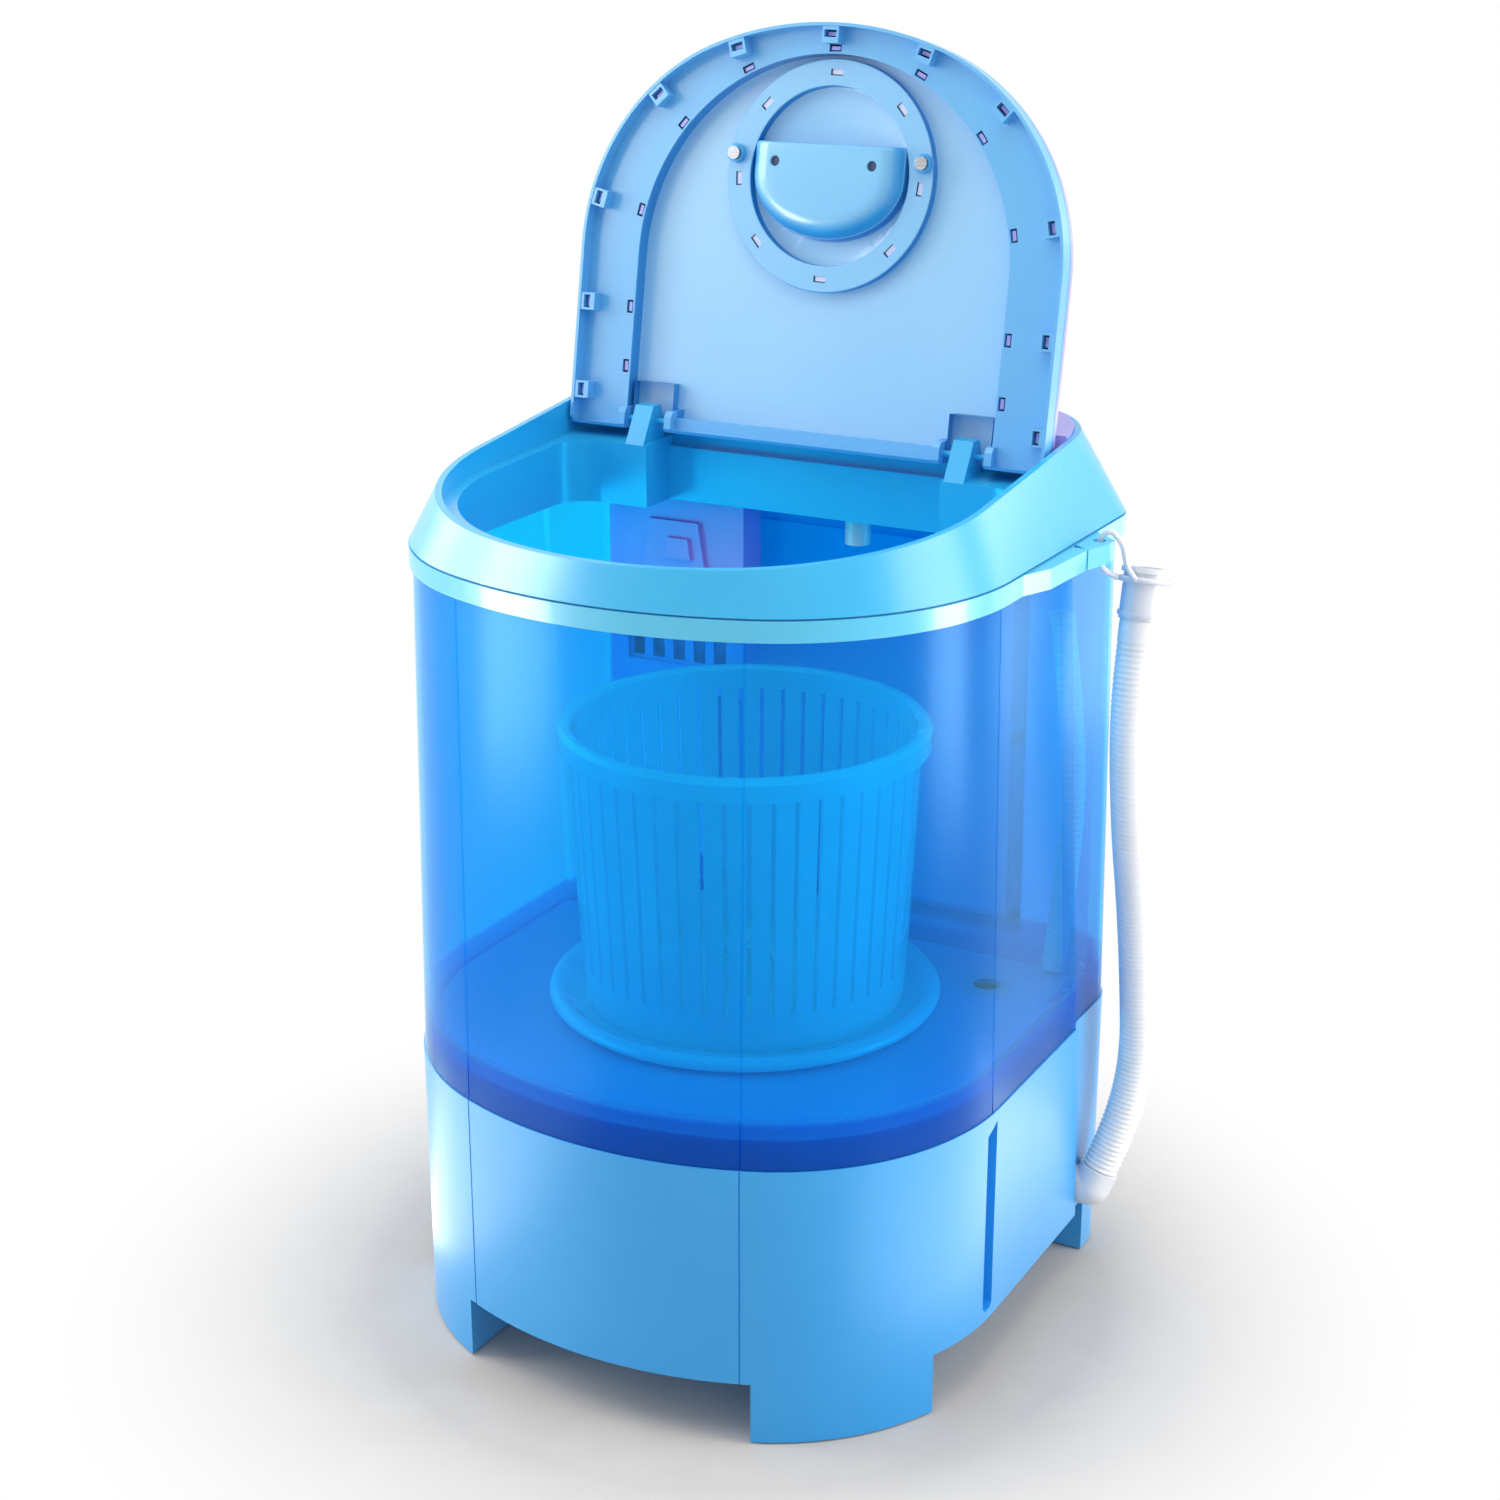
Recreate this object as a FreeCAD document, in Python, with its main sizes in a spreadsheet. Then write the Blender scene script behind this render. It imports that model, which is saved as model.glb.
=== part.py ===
import FreeCAD, Part
import math
import os

import Sketcher
from FreeCAD import Placement, Rotation, Vector

# Compact top load washing machine: a see-through tub on an opaque base, a
# sloped collar with a hinged lid, a spin basket on a belt-driven pulsator.
# Millimetres, +Z up, front towards -Y, origin on the floor under the middle.

doc = FreeCAD.newDocument("washing_machine")
sheet = doc.addObject("Spreadsheet::Sheet", "Sizes")
NODES = []

SIZES = [
    # plan outline, shared by base, tub, rim and collar
    ("body_width", 354, "outside width of the base"),
    ("body_depth", 342, "outside depth of the base"),
    ("front_radius", 238, "radius of the bowed front"),
    ("corner_radius", 140, "radius of the front corners"),
    ("rear_radius", 35, "radius of the rear corners"),
    ("side_recess", 4, "how far the rear part of each side steps in"),
    ("recess_start", 91, "Y where that step is"),
    ("recess_lean", 5, "forward lean of that step in degrees"),
    ("drum_y", 8, "Y of the drum axis"),
    ("fit_gap", 0.3, "clearance between separate mouldings"),
    ("seam_offset", 85.5, "X of the front mould seams"),
    ("seam_width", 0.9, "width of a mould seam"),
    ("seam_depth", 0.7, "depth of a mould seam"),
    # base
    ("base_top", 166, "height of the base"),
    ("base_wall", 3, "wall of the base"),
    ("floor_rise", 37, "underside of the base between the feet"),
    ("base_floor", 3, "floor of the base"),
    ("front_notch", 91, "half width of the opening between front feet"),
    ("rear_notch", 118, "half width of the opening between rear feet"),
    ("side_notch_front", -79, "Y where the side opening starts"),
    ("side_notch_rear", 125, "Y where the side opening ends"),
    ("foot_gap", 1, "feet above the ground on their pads"),
    ("foot_front_x", 120, "X of the front pads"),
    ("foot_front_y", -105, "Y of the front pads"),
    ("foot_rear_x", 143, "X of the rear pads"),
    ("foot_rear_y", 146, "Y of the rear pads"),
    ("pad_radius", 9, "radius of a rubber pad"),
    ("pad_height", 6, "height of a rubber pad"),
    ("pad_boss", 12, "radius of the boss round a pad"),
    ("groove_front", -37, "Y of the side groove's front wall"),
    ("groove_width", 11, "width of the side groove"),
    ("groove_depth", 6, "depth of the side groove"),
    ("groove_foot", 43, "lower end of the side groove"),
    ("groove_head", 160, "upper end of the side groove"),
    ("hatch_half", 98, "half width of the service hatch"),
    ("hatch_front", -60, "front edge of the service hatch"),
    ("hatch_rear", 100, "rear edge of the service hatch"),
    ("hatch_lap", 8, "overlap of the service cover round its hatch"),
    ("cover_thick", 2, "sheet of the service covers"),
    # tub
    ("tub_inset", 0.8, "step from base to tub"),
    ("tub_wall", 2.6, "wall of the tub"),
    ("tub_taper", 1.0, "draft of the tub in degrees"),
    ("tub_top", 460, "top of the tub wall"),
    ("floor_top", 186, "top of the tub floor"),
    ("floor_thick", 3, "thickness of the tub floor"),
    ("chamber_rear", 131, "Y of the rear of the water chamber"),
    ("chamber_radius", 20, "rear corner radius of the water chamber"),
    ("floor_fillet", 7, "fillet between tub floor and wall"),
    ("duct_gap", 3, "partition between water chamber and service duct"),
    ("drain_x", 122, "X of the drain"),
    ("drain_y", 84, "Y of the drain"),
    ("drain_radius", 8, "radius of the drain's bore"),
    ("back_half", 100, "half width of the rear opening"),
    ("back_bottom", 196, "bottom of the rear opening"),
    ("back_top", 430, "top of the rear opening"),
    ("back_lap", 8, "rear cover over its opening's edge"),
    ("back_sunk", 4.2, "seat of the rear cover below the tub's rear"),
    ("back_frame", 3, "frame behind the rear cover's seat"),
    # rim
    ("rim_bottom", 453.5, "lower edge of the rim"),
    ("rim_top", 464.6, "parting line of rim and collar"),
    ("rim_inset", 4, "rim inside the base outline"),
    ("rim_inner", 15, "inner edge of the rim"),
    ("grip_out", 183, "X of the outer face of the side grips"),
    ("grip_front", -10, "Y where a grip starts"),
    ("grip_ramp", 22, "length of the grip's ramp"),
    ("grip_rear", 59, "Y where a grip ends"),
    ("eye_front", 66, "Y of the front of the hook eye"),
    ("eye_out", 188.5, "X of the outer face of the hook eye"),
    ("eye_rear", 98, "Y of the rear of the hook eye"),
    ("eye_x", 181, "X of the hole in the hook eye"),
    ("eye_y", 80, "Y of the hole in the hook eye"),
    ("eye_radius", 3.5, "radius of the hole in the hook eye"),
    # collar
    ("top_tilt", 6.56, "slope of the top in degrees, higher at the rear"),
    ("top_front", 483.5, "height of the top plane at the front"),
    ("collar_inset", 4.6, "collar edge inside the base outline"),
    ("reveal", 1, "height of the shadow line under the collar"),
    ("reveal_inset", 7, "depth of the shadow line"),
    ("rim_edge", 3.5, "width of the collar's top edge"),
    ("top_rear", 321, "rear of the top edge along the slope"),
    ("top_rear_radius", 50, "rear corner radius of the top edge"),
    ("lid_room", 2.5, "gap round the lid"),
    ("recess_rear", 93.5, "Y of the wall behind the closed lid"),
    ("floor_height", 491.8, "lid seat at the rear of the loading opening"),
    ("floor_tilt", 2.5, "slope of the lid seat in degrees"),
    ("gutter_height", 487, "gutter between the hinges"),
    ("gutter_half", 94, "half width of the loading opening between the hinges"),
    ("gutter_rear", 87, "rear of the loading opening between the hinges"),
    ("throat_corner", 20, "rear corner radius of the loading opening"),
    ("throat_half", 145, "half width of the loading opening"),
    ("throat_front", -145, "front of the loading opening"),
    ("throat_rear", 60, "rear of the loading opening at the hinges"),
    ("skirt_wall", 2.5, "wall of the skirt under the collar"),
    ("skirt_bottom", 455, "lower edge of the skirt"),
    ("deck_half", 138, "half width of the cavity under the rear deck"),
    ("deck_front", 98, "front of that cavity"),
    ("deck_rear", 146, "rear of that cavity"),
    ("deck_sheet", 3, "sheet of the rear deck"),
    ("deck_sunk", 6, "deck below the collar's top edge"),
    ("deck_open_half", 110, "half width of the opening in the deck"),
    ("deck_open_front", 272, "front of the opening in the deck along the slope"),
    ("deck_open_rear", 310, "rear of the opening in the deck along the slope"),
    # lid
    ("lid_half", 151, "half width of the lid"),
    ("lid_length", 234.5, "length of the lid"),
    ("lid_front_radius", 200, "radius of the lid's front"),
    ("lid_corner_radius", 125, "radius of the lid's corners"),
    ("lid_edge", 83.9, "Y of the hinge edge of the closed lid"),
    ("lid_gap", 1, "closed lid above its seat"),
    ("lid_open", 10, "lean of the open lid behind upright, degrees"),
    ("band_drop", 8.4, "lid panel's band above the lid's lower edge"),
    ("panel_wall", 1.8, "wall of the lid panel"),
    ("panel_height", 11.2, "height of the lid panel's side wall"),
    ("arch_drop", 19, "lid panel's middle above the lid's lower edge"),
    ("arch_half", 117, "half width of the lid panel's middle"),
    ("arch_centre", 101.5, "centre of the arch from the hinge edge"),
    ("hinge_bevel", 4, "bevel of the lid's lower hinge corner"),
    ("lid_height", 23, "height of the lid"),
    ("cover_inset", 1, "lid cover inside the lid's edge"),
    ("cover_round", 7, "rounding of the lid's outer edge"),
    ("cover_wall", 2, "wall of the lid's outer cover"),
    ("pin_back", 5.75, "hinge pin from the lid's hinge edge"),
    ("pin_under", 9.75, "hinge pin above the lid's lower edge"),
    ("pin_radius", 2, "radius of a hinge pin"),
    ("pin_gap", 0.05, "running clearance of a hinge pin"),
    ("tower_in", 96, "inner face of a hinge tower"),
    ("tower_out", 108, "outer face of a hinge tower"),
    ("tower_top", 9.5, "tower above its pin"),
    ("tower_back", 7, "tower behind its pin"),
    ("tower_lean", 5, "tower's top edge ahead of its pin"),
    ("notch_in", 88, "inner side of the lid's hinge notch"),
    ("notch_out", 115, "outer side of the lid's hinge notch"),
    ("notch_deep", 28, "depth of the lid's hinge notch"),
    ("lug_width", 4.5, "width of a lug beside the hinge notch"),
    ("grip_centre", 152, "middle of the lid's grip from the hinge edge"),
    ("ring_outer", 64.5, "outer radius of the grip's flange"),
    ("ring_inner", 49.5, "inner radius of the grip's flange"),
    ("ring_face", 13, "flange above the lid's lower edge"),
    ("cup_radius", 47.4, "radius of the half-round grip cup"),
    ("cup_ahead", 11.4, "middle of the cup's round ahead of the grip's middle"),
    ("cup_flat", 6.6, "straight side of the cup ahead of the middle of its round"),
    ("cup_face", 4.7, "cup's floor above the lid's lower edge"),
    ("cup_draft", 18, "draft of the cup in degrees"),
    ("cup_wall", 2.2, "wall of the cup"),
    ("arch_back", 7, "rear of the lid's deep middle, from the hinge edge"),
    ("band_slots", 3, "centre of the inner slots outside the middle"),
    ("loop_slots", 6, "centre of the outer slots inside the lid's edge"),
    ("loop_length", 10, "moulded loop round an outer slot"),
    ("hole_side", 30.3, "X of the holes in the cup's face"),
    ("hole_back", 158.5, "holes in the cup's face from the hinge edge"),
    ("hole_radius", 3, "hole in the cup's face, radius"),
    ("slot_length", 7.5, "length of a snap slot"),
    ("slot_width", 4, "width of a snap slot"),
    ("tab_length", 5.5, "length of a snap tab"),
    ("tab_width", 2, "thickness of a snap tab"),
    ("boss_side", 58.6, "X of the grip screws"),
    ("boss_up", 9.8, "grip screws ahead of the grip's middle"),
    ("boss_face", 9.5, "screw bosses above the lid's lower edge"),
    ("boss_radius", 6, "radius of a screw boss"),
    # control panel and what hangs from it
    ("knob_skirt", 4, "height of a knob's skirt"),
    ("knob_grip", 12, "radius of a knob's upper part"),
    ("shaft_depth", 16, "reach of a knob's shaft below the panel"),
    ("timer_half", 23, "half width of the timer"),
    ("timer_deep", 26, "depth of the timer"),
    ("switch_half", 15, "half width of the switch"),
    ("switch_deep", 20, "depth of the switch"),
    ("unit_half", 15, "timer and switch, half length along the slope"),
    ("pipe_x", 21, "X of the water inlet pipe"),
    ("pipe_y", 108, "Y of the water inlet pipe"),
    ("inlet_radius", 8, "radius of the water inlet's spigot"),
    ("spigot_length", 16, "length of the water inlet's spigot"),
    ("inlet_stem", 7.6, "radius of the water inlet pipe below its spigot"),
    ("inlet_bore", 6, "bore of the water inlet pipe"),
    ("inlet_foot", 437, "lower end of the water inlet pipe"),
    ("inlet_top", 538, "upper end of the water inlet pipe"),
    ("plate_half", 150, "half width of the splash plate"),
    ("plate_front", 93, "Y of the splash plate's front"),
    ("plate_rear", 154, "Y of the splash plate's rear"),
    ("dash_top", 2, "control panel above the collar's edge"),
    ("dash_wall", 3, "wall of the control panel"),
    ("knob_x", 72, "X of the knobs"),
    ("knob_y", 293, "knobs along the slope"),
    ("knob_radius", 16, "radius of a knob"),
    ("knob_height", 15, "height of a knob"),
    ("shaft_radius", 3, "radius of a knob's shaft"),
    ("shaft_gap", 0.05, "running clearance of a knob's shaft"),
    # drum
    ("basket_bottom", 191, "underside of the basket"),
    ("basket_top", 355, "top of the basket"),
    ("basket_foot_radius", 94, "outer radius at the basket's foot"),
    ("basket_neck_radius", 101.5, "outer radius under the basket's rim"),
    ("basket_rim_radius", 106.8, "outer radius of the basket's rim"),
    ("basket_mouth_radius", 98.5, "radius of the basket's mouth"),
    ("basket_wall", 2.5, "wall of the basket"),
    ("basket_rim_height", 13, "height of the basket's rim"),
    ("slots", 48, "number of basket slots"),
    ("slot_bottom", 212, "lower end of a basket slot"),
    ("slot_top", 341, "upper end of a basket slot"),
    ("basket_slot", 2.6, "width of a basket slot"),
    ("pulsator_radius", 115, "radius of the pulsator"),
    ("pulsator_lift", 1.5, "gap under the pulsator"),
    ("pulsator_thick", 3.5, "thickness of the pulsator"),
    ("hub_radius", 16, "radius of the pulsator's hub"),
    ("hub_top", 212, "top of the pulsator's hub"),
    ("nut_radius", 13, "radius of the basket's lock nut"),
    ("nut_height", 10, "height of the basket's lock nut"),
    ("shaft_head", 215, "upper end of the drive shaft"),
    ("vane_height", 8, "height of the pulsator's vanes"),
    ("shaft_size", 7, "radius of the drive shaft"),
    ("shaft_foot", 66, "lower end of the drive shaft"),
    ("run_gap", 0.05, "running clearance of the drive shaft"),
    ("bearing_radius", 16, "outer radius of a bearing"),
    ("bearing_width", 10, "width of a bearing"),
    ("housing_radius", 24, "radius of the bearing housing"),
    ("housing_length", 60, "length of the bearing housing"),
    ("flange_radius", 46, "radius of the bearing housing's flange"),
    ("flange_screws", 38, "circle of the flange's screws, radius"),
    ("seal_radius", 15, "outer radius of the shaft seal"),
    ("flange_thick", 5, "thickness of that flange"),
    ("pulley_foot", 74, "lower face of the pulleys"),
    ("pulley_width", 14, "width of the pulleys"),
    ("pulley_radius", 60, "radius of the drum pulley's groove"),
    ("pinion_radius", 15, "radius of the motor pulley's groove"),
    ("pulley_lip", 3, "height of a pulley's lips"),
    ("belt_thick", 2, "thickness of the belt"),
    ("belt_width", 8, "width of the belt"),
    ("belt_gap", 0.5, "belt clear of its grooves"),
    # motor and electrics
    ("motor_x", -86, "X of the motor"),
    ("motor_y", 80, "Y of the motor"),
    ("motor_radius", 38, "radius of the motor's casing"),
    ("motor_length", 62, "length of the motor's casing"),
    ("motor_wall", 8, "stator and casing thickness"),
    ("mount_plate", 3, "motor plate"),
    ("mount_height", 97, "underside of the motor plate"),
    ("mount_half", 46, "half size of the motor plate"),
    ("post_radius", 6, "radius of a post under the motor plate"),
    ("post_inset", 7, "posts from the edge of the motor plate"),
    ("rotor_shaft", 5, "radius of the motor's shaft"),
    ("capacitor_x", 124, "X of the capacitor"),
    ("capacitor_y", -10, "Y of the capacitor"),
    ("capacitor_radius", 18, "radius of the capacitor"),
    ("capacitor_height", 62, "height of the capacitor"),
    # filter on the rear wall of the chamber
    ("filter_x", -103, "X of the lint filter"),
    ("filter_half", 47, "half width of the filter housing"),
    ("filter_deep", 22, "depth of the filter housing"),
    ("filter_bottom", 328, "lower end of the filter housing"),
    ("filter_top", 450, "upper end of the filter housing"),
    ("filter_face", 3, "raised front of the filter housing"),
    ("filter_wall", 2.5, "wall of the filter housing"),
    # drain and hose
    ("outlet_y", 113.6, "Y of the drain outlet"),
    ("outlet_z", 53.2, "height of the drain outlet"),
    ("outlet_out", 182, "X where the outlet turns up"),
    ("outlet_lean", 25.1, "lean of the outlet's spout from upright, degrees"),
    ("spout_length", 12, "length of the outlet's spout"),
    ("outlet_wall", 2.5, "wall of the drain outlet"),
    ("pipe_radius", 9, "radius of the inner drain pipe"),
    ("outlet_radius", 12, "radius of the drain outlet"),
    ("outlet_room", 0.8, "clearance round the outlet in the housing"),
    ("hose_radius", 11, "radius of the drain hose"),
    ("cuff_radius", 12, "radius of the hose's cuff"),
    ("cuff_height", 29, "height of the hose's cuff"),
    ("hose_bore", 9, "bore of the drain hose"),
    ("hook_wire", 1.6, "radius of the hose hook's wire"),
    ("gland_x", 60, "X of the cable gland"),
    ("gland_z", 60, "height of the cable gland"),
    ("gland_radius", 7, "radius of the cable gland's hole"),
    ("gland_bore", 3.5, "radius of the cable gland's bore"),
    # fasteners
    ("screw_fit", 0.1, "hole wider than its screw, in radius"),
    ("screw_radius", 1.6, "radius of a screw's shank"),
    ("screw_head", 3.6, "radius of a screw's head"),
    ("head_height", 2, "height of a screw's head"),
    ("screw_length", 7, "length of a screw's shank"),
]

for row, (alias, value, note) in enumerate(SIZES, start=1):
    sheet.set("A%d" % row, alias)
    sheet.set("B%d" % row, str(value))
    sheet.set("C%d" % row, note)
    sheet.setAlias("B%d" % row, alias)
doc.recompute()


# ---------------------------------------------------------------- helpers

def names(text):
    """Write S.alias for each Sizes cell in an expression."""
    return str(text).replace("$", "Sizes.")


def number(text):
    """The value of an expression, as a plain number."""
    value = sheet.evalExpression(names(text))
    return float(getattr(value, "Value", value))


def bind(obj, **properties):
    """Bind properties to expressions; a double underscore stands for a dot."""
    for key, text in properties.items():
        obj.setExpression(key.replace("__", "."), names(text))


def place(obj, x="0", y="0", z="0", axis=None, angle=None):
    """Bind an object's Placement."""
    if axis is not None:
        obj.Placement = Placement(Vector(), Rotation(Vector(*axis), 10))
        obj.setExpression("Placement.Rotation.Angle", names(angle))
    bind(obj, Placement__Base__x=x, Placement__Base__y=y, Placement__Base__z=z)
    return obj


def node(obj, label):
    """Declare an object as one sub-part of the machine."""
    obj.Label = label
    NODES.append(obj)
    return obj


def make_body(name):
    return doc.addObject("PartDesign::Body", name)


def make_sketch(body, plane="XY_Plane", height="0"):
    """A sketch on one of the body's own planes, raised along its normal."""
    sketch = body.newObject("Sketcher::SketchObject", body.Name + "_sketch")
    support = [f for f in body.Origin.OriginFeatures if f.Role == plane][0]
    sketch.AttachmentSupport = [(support, "")]
    sketch.MapMode = "FlatFace"
    sketch.setExpression("AttachmentOffset.Base.z", names(height))
    return sketch


def fix(sketch, kind, first, second, text):
    """A named length constraint bound to an expression."""
    if second is None:
        index = sketch.addConstraint(Sketcher.Constraint(kind, first, number(text)))
    else:
        index = sketch.addConstraint(
            Sketcher.Constraint(kind, -1, 1, first, second, number(text)))
    sketch.setExpression("Constraints[%d]" % index, names(text))


def polygon(sketch, points):
    """A closed polygon with every corner bound."""
    values = [Vector(number(x), number(y), 0) for x, y in points]
    first = sketch.GeometryCount
    total = len(points)
    for i in range(total):
        sketch.addGeometry(Part.LineSegment(values[i], values[(i + 1) % total]), False)
    for i in range(total):
        after = first + (i + 1) % total
        sketch.addConstraint(Sketcher.Constraint("Coincident", first + i, 2, after, 1))
    for i, (x, y) in enumerate(points):
        fix(sketch, "DistanceX", first + i, 1, x)
        fix(sketch, "DistanceY", first + i, 1, y)


def rectangle(sketch, left, right, low, high):
    polygon(sketch, [(left, low), (right, low), (right, high), (left, high)])


def circle(sketch, x, y, radius):
    centre = Vector(number(x), number(y), 0)
    index = sketch.addGeometry(Part.Circle(centre, Vector(0, 0, 1), number(radius)), False)
    fix(sketch, "DistanceX", index, 3, x)
    fix(sketch, "DistanceY", index, 3, y)
    fix(sketch, "Radius", index, None, radius)


def arc(centre, radius, start, end):
    full = Part.Circle(centre, Vector(0, 0, 1), radius)
    return Part.ArcOfCircle(full, math.radians(start), math.radians(end))


def outline(sketch, half, front, rear, front_radius, corner_radius, rear_radius=None):
    """The machine's plan: bowed front, round front corners, straight sides.

    The rear is straight, with round corners when rear_radius is given.
    """
    w, f, r = number(half), number(front), number(rear)
    big, small = number(front_radius), number(corner_radius)
    turn = math.asin((w - small) / (big - small))
    lean = math.degrees(turn)
    knee = f + big - (big - small) * math.cos(turn)
    back = number(rear_radius) if rear_radius else 0.0
    add = sketch.addGeometry
    front_arc = add(arc(Vector(0, f + big, 0), big, 270 - lean, 270 + lean), False)
    right_arc = add(arc(Vector(w - small, knee, 0), small, 270 + lean, 360), False)
    right = add(Part.LineSegment(Vector(w, knee, 0), Vector(w, r - back, 0)), False)
    if rear_radius:
        right_rear = add(arc(Vector(w - back, r - back, 0), back, 0, 90), False)
    rear_line = add(Part.LineSegment(Vector(w - back, r, 0), Vector(back - w, r, 0)), False)
    if rear_radius:
        left_rear = add(arc(Vector(back - w, r - back, 0), back, 90, 180), False)
    left = add(Part.LineSegment(Vector(-w, r - back, 0), Vector(-w, knee, 0)), False)
    left_arc = add(arc(Vector(small - w, knee, 0), small, 180, 270 - lean), False)

    def join(kind, one, other):
        sketch.addConstraint(Sketcher.Constraint(kind, one, 2, other, 1))

    join("Tangent", front_arc, right_arc)
    join("Tangent", right_arc, right)
    if rear_radius:
        join("Tangent", right, right_rear)
        join("Tangent", right_rear, rear_line)
        join("Tangent", rear_line, left_rear)
        join("Tangent", left_rear, left)
        fix(sketch, "Radius", right_rear, None, rear_radius)
        fix(sketch, "Radius", left_rear, None, rear_radius)
    else:
        join("Coincident", right, rear_line)
        join("Coincident", rear_line, left)
    join("Tangent", left, left_arc)
    join("Tangent", left_arc, front_arc)
    sketch.addConstraint(Sketcher.Constraint("Vertical", right))
    sketch.addConstraint(Sketcher.Constraint("Vertical", left))
    sketch.addConstraint(Sketcher.Constraint("Horizontal", rear_line))
    sketch.addConstraint(Sketcher.Constraint("PointOnObject", front_arc, 3, -2))
    fix(sketch, "Radius", front_arc, None, front_radius)
    fix(sketch, "Radius", right_arc, None, corner_radius)
    fix(sketch, "Radius", left_arc, None, corner_radius)
    fix(sketch, "DistanceX", right, 1, half)
    fix(sketch, "DistanceX", left, 1, "-(%s)" % half)
    fix(sketch, "DistanceY", front_arc, 3, "%s + %s" % (front, front_radius))
    fix(sketch, "DistanceY", rear_line, 1, rear)


def body_outline(sketch, inset, rear, rear_radius=None):
    """The shared plan outline, drawn in by inset."""
    outline(sketch, "$body_width / 2 - (%s)" % inset, "(%s) - $body_depth / 2" % inset, rear,
            "$front_radius - (%s)" % inset, "$corner_radius - (%s)" % inset, rear_radius)


def whole_outline(sketch, inset):
    """The shared outline to the rear, with its round rear corners."""
    body_outline(sketch, inset, "$body_depth / 2 + $side_recess - (%s)" % inset,
                 "$rear_radius - (%s) + $side_recess" % inset)


def extrude(body, sketch, kind, length, upward=True, taper=None):
    """A Pad or Pocket of a sketch, upward or downward along its normal."""
    feature = body.newObject("PartDesign::" + kind, body.Name + "_" + kind.lower())
    feature.Profile = sketch
    feature.setExpression("Length", names(length))
    feature.Reversed = (kind == "Pad") != upward
    if taper:
        feature.setExpression("TaperAngle", names(taper))
    sketch.Visibility = False
    return feature


def pad(body, sketch, length, upward=True, taper=None):
    return extrude(body, sketch, "Pad", length, upward, taper)


def pocket(body, sketch, length, upward=True, taper=None):
    doc.recompute()
    before = body.Shape.Volume
    feature = extrude(body, sketch, "Pocket", length, upward, taper)
    doc.recompute()
    if body.Shape.Volume > before - 0.01:
        raise RuntimeError("pocket cuts nothing in " + body.Name)
    return feature


def revolve(body, points):
    """A full turn of a half section, given as (radius, height) corners."""
    sketch = make_sketch(body, "XZ_Plane")
    polygon(sketch, points)
    feature = body.newObject("PartDesign::Revolution", body.Name + "_revolution")
    feature.Profile = sketch
    feature.ReferenceAxis = (sketch, ["V_Axis"])
    feature.Angle = 360
    return feature


def cylinder(radius, height, x="0", y="0", z="0", axis=None, angle=None):
    solid = doc.addObject("Part::Cylinder", "Cylinder")
    bind(solid, Radius=radius, Height=height)
    return place(solid, x, y, z, axis, angle)


def box(x0, x1, y0, y1, z0, z1):
    solid = doc.addObject("Part::Box", "Box")
    bind(solid, Length="(%s) - (%s)" % (x1, x0), Width="(%s) - (%s)" % (y1, y0),
         Height="(%s) - (%s)" % (z1, z0))
    return place(solid, x0, y0, z0)


def fuse(*solids):
    union = doc.addObject("Part::MultiFuse", "Union")
    union.Shapes = list(solids)
    union.Refine = True
    return union


def cut(base, *tools):
    result = doc.addObject("Part::Cut", "Cut")
    result.Base = base
    result.Tool = tools[0] if len(tools) == 1 else fuse(*tools)
    return result


def group(*solids):
    """Separate solids kept in one sub-part."""
    compound = doc.addObject("Part::Compound", "Group")
    compound.Links = list(solids)
    return compound


def screw(x, y, z, axis=None, angle=None):
    """A pan head screw, its head standing on z and its shank going down."""
    head = cylinder("$screw_head", "$head_height")
    shank = cylinder("$screw_radius", "$screw_length", z="-$screw_length")
    return place(fuse(head, shank), x, y, z, axis, angle)


X_AXIS, Y_AXIS, Z_AXIS = (1, 0, 0), (0, 1, 0), (0, 0, 1)
BACKWARD = (-1, 0, 0)


def common(*solids):
    shared = doc.addObject("Part::MultiCommon", "Shared")
    shared.Shapes = list(solids)
    return shared


def prism_x(points, x0, x1):
    """A side profile, given as (y, z) corners, drawn out along X."""
    body = make_body("Profile")
    sketch = make_sketch(body, "YZ_Plane", x0)
    polygon(sketch, points)
    pad(body, sketch, "(%s) - (%s)" % (x1, x0))
    return body


def prism_y(points, y0, y1):
    """A front profile, given as (x, z) corners, drawn out along Y."""
    body = make_body("Profile")
    sketch = make_sketch(body, "XZ_Plane", "-(%s)" % y1)
    polygon(sketch, points)
    pad(body, sketch, "(%s) - (%s)" % (y1, y0))
    return body


def block(inset, z0, z1, rear=None, rear_radius=None, taper=None):
    """An upright block with the machine's plan, drawn in by inset."""
    body = make_body("Block")
    sketch = make_sketch(body, "XY_Plane", z0)
    if rear is None:
        whole_outline(sketch, inset)
    else:
        body_outline(sketch, inset, rear, rear_radius)
    pad(body, sketch, "(%s) - (%s)" % (z1, z0), taper=taper)
    return body


def stepped(inset, z0, z1, taper=None, step="0"):
    """The same, with the leaning step in each side."""
    low = "((%s) - 1)" % z0
    high = "((%s) + 1)" % z1
    plane = "$recess_start - (%s) - (%s - $base_top) * tan($recess_lean * 1deg)"
    wedge = prism_x([("-$body_depth", low), (plane % (step, low), low),
                     (plane % (step, high), high), ("-$body_depth", high)],
                    "-$body_width", "$body_width")
    front = block(inset, z0, z1, rear="$recess_start + 40", taper=taper)
    return fuse(common(front, wedge), block("%s + $side_recess" % inset, z0, z1, taper=taper))


HALF = "$body_width / 2"
FRONT = "-$body_depth / 2"
REAR = "$body_depth / 2"
SIDES = [("left", "-"), ("right", "")]


def two_sided(x0, x1):
    """The same span of X on the left and on the right, each low end first."""
    return [("left", "-(%s)" % x1, "-(%s)" % x0), ("right", x0, x1)]


# ------------------------------------------------------------------ base

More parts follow.
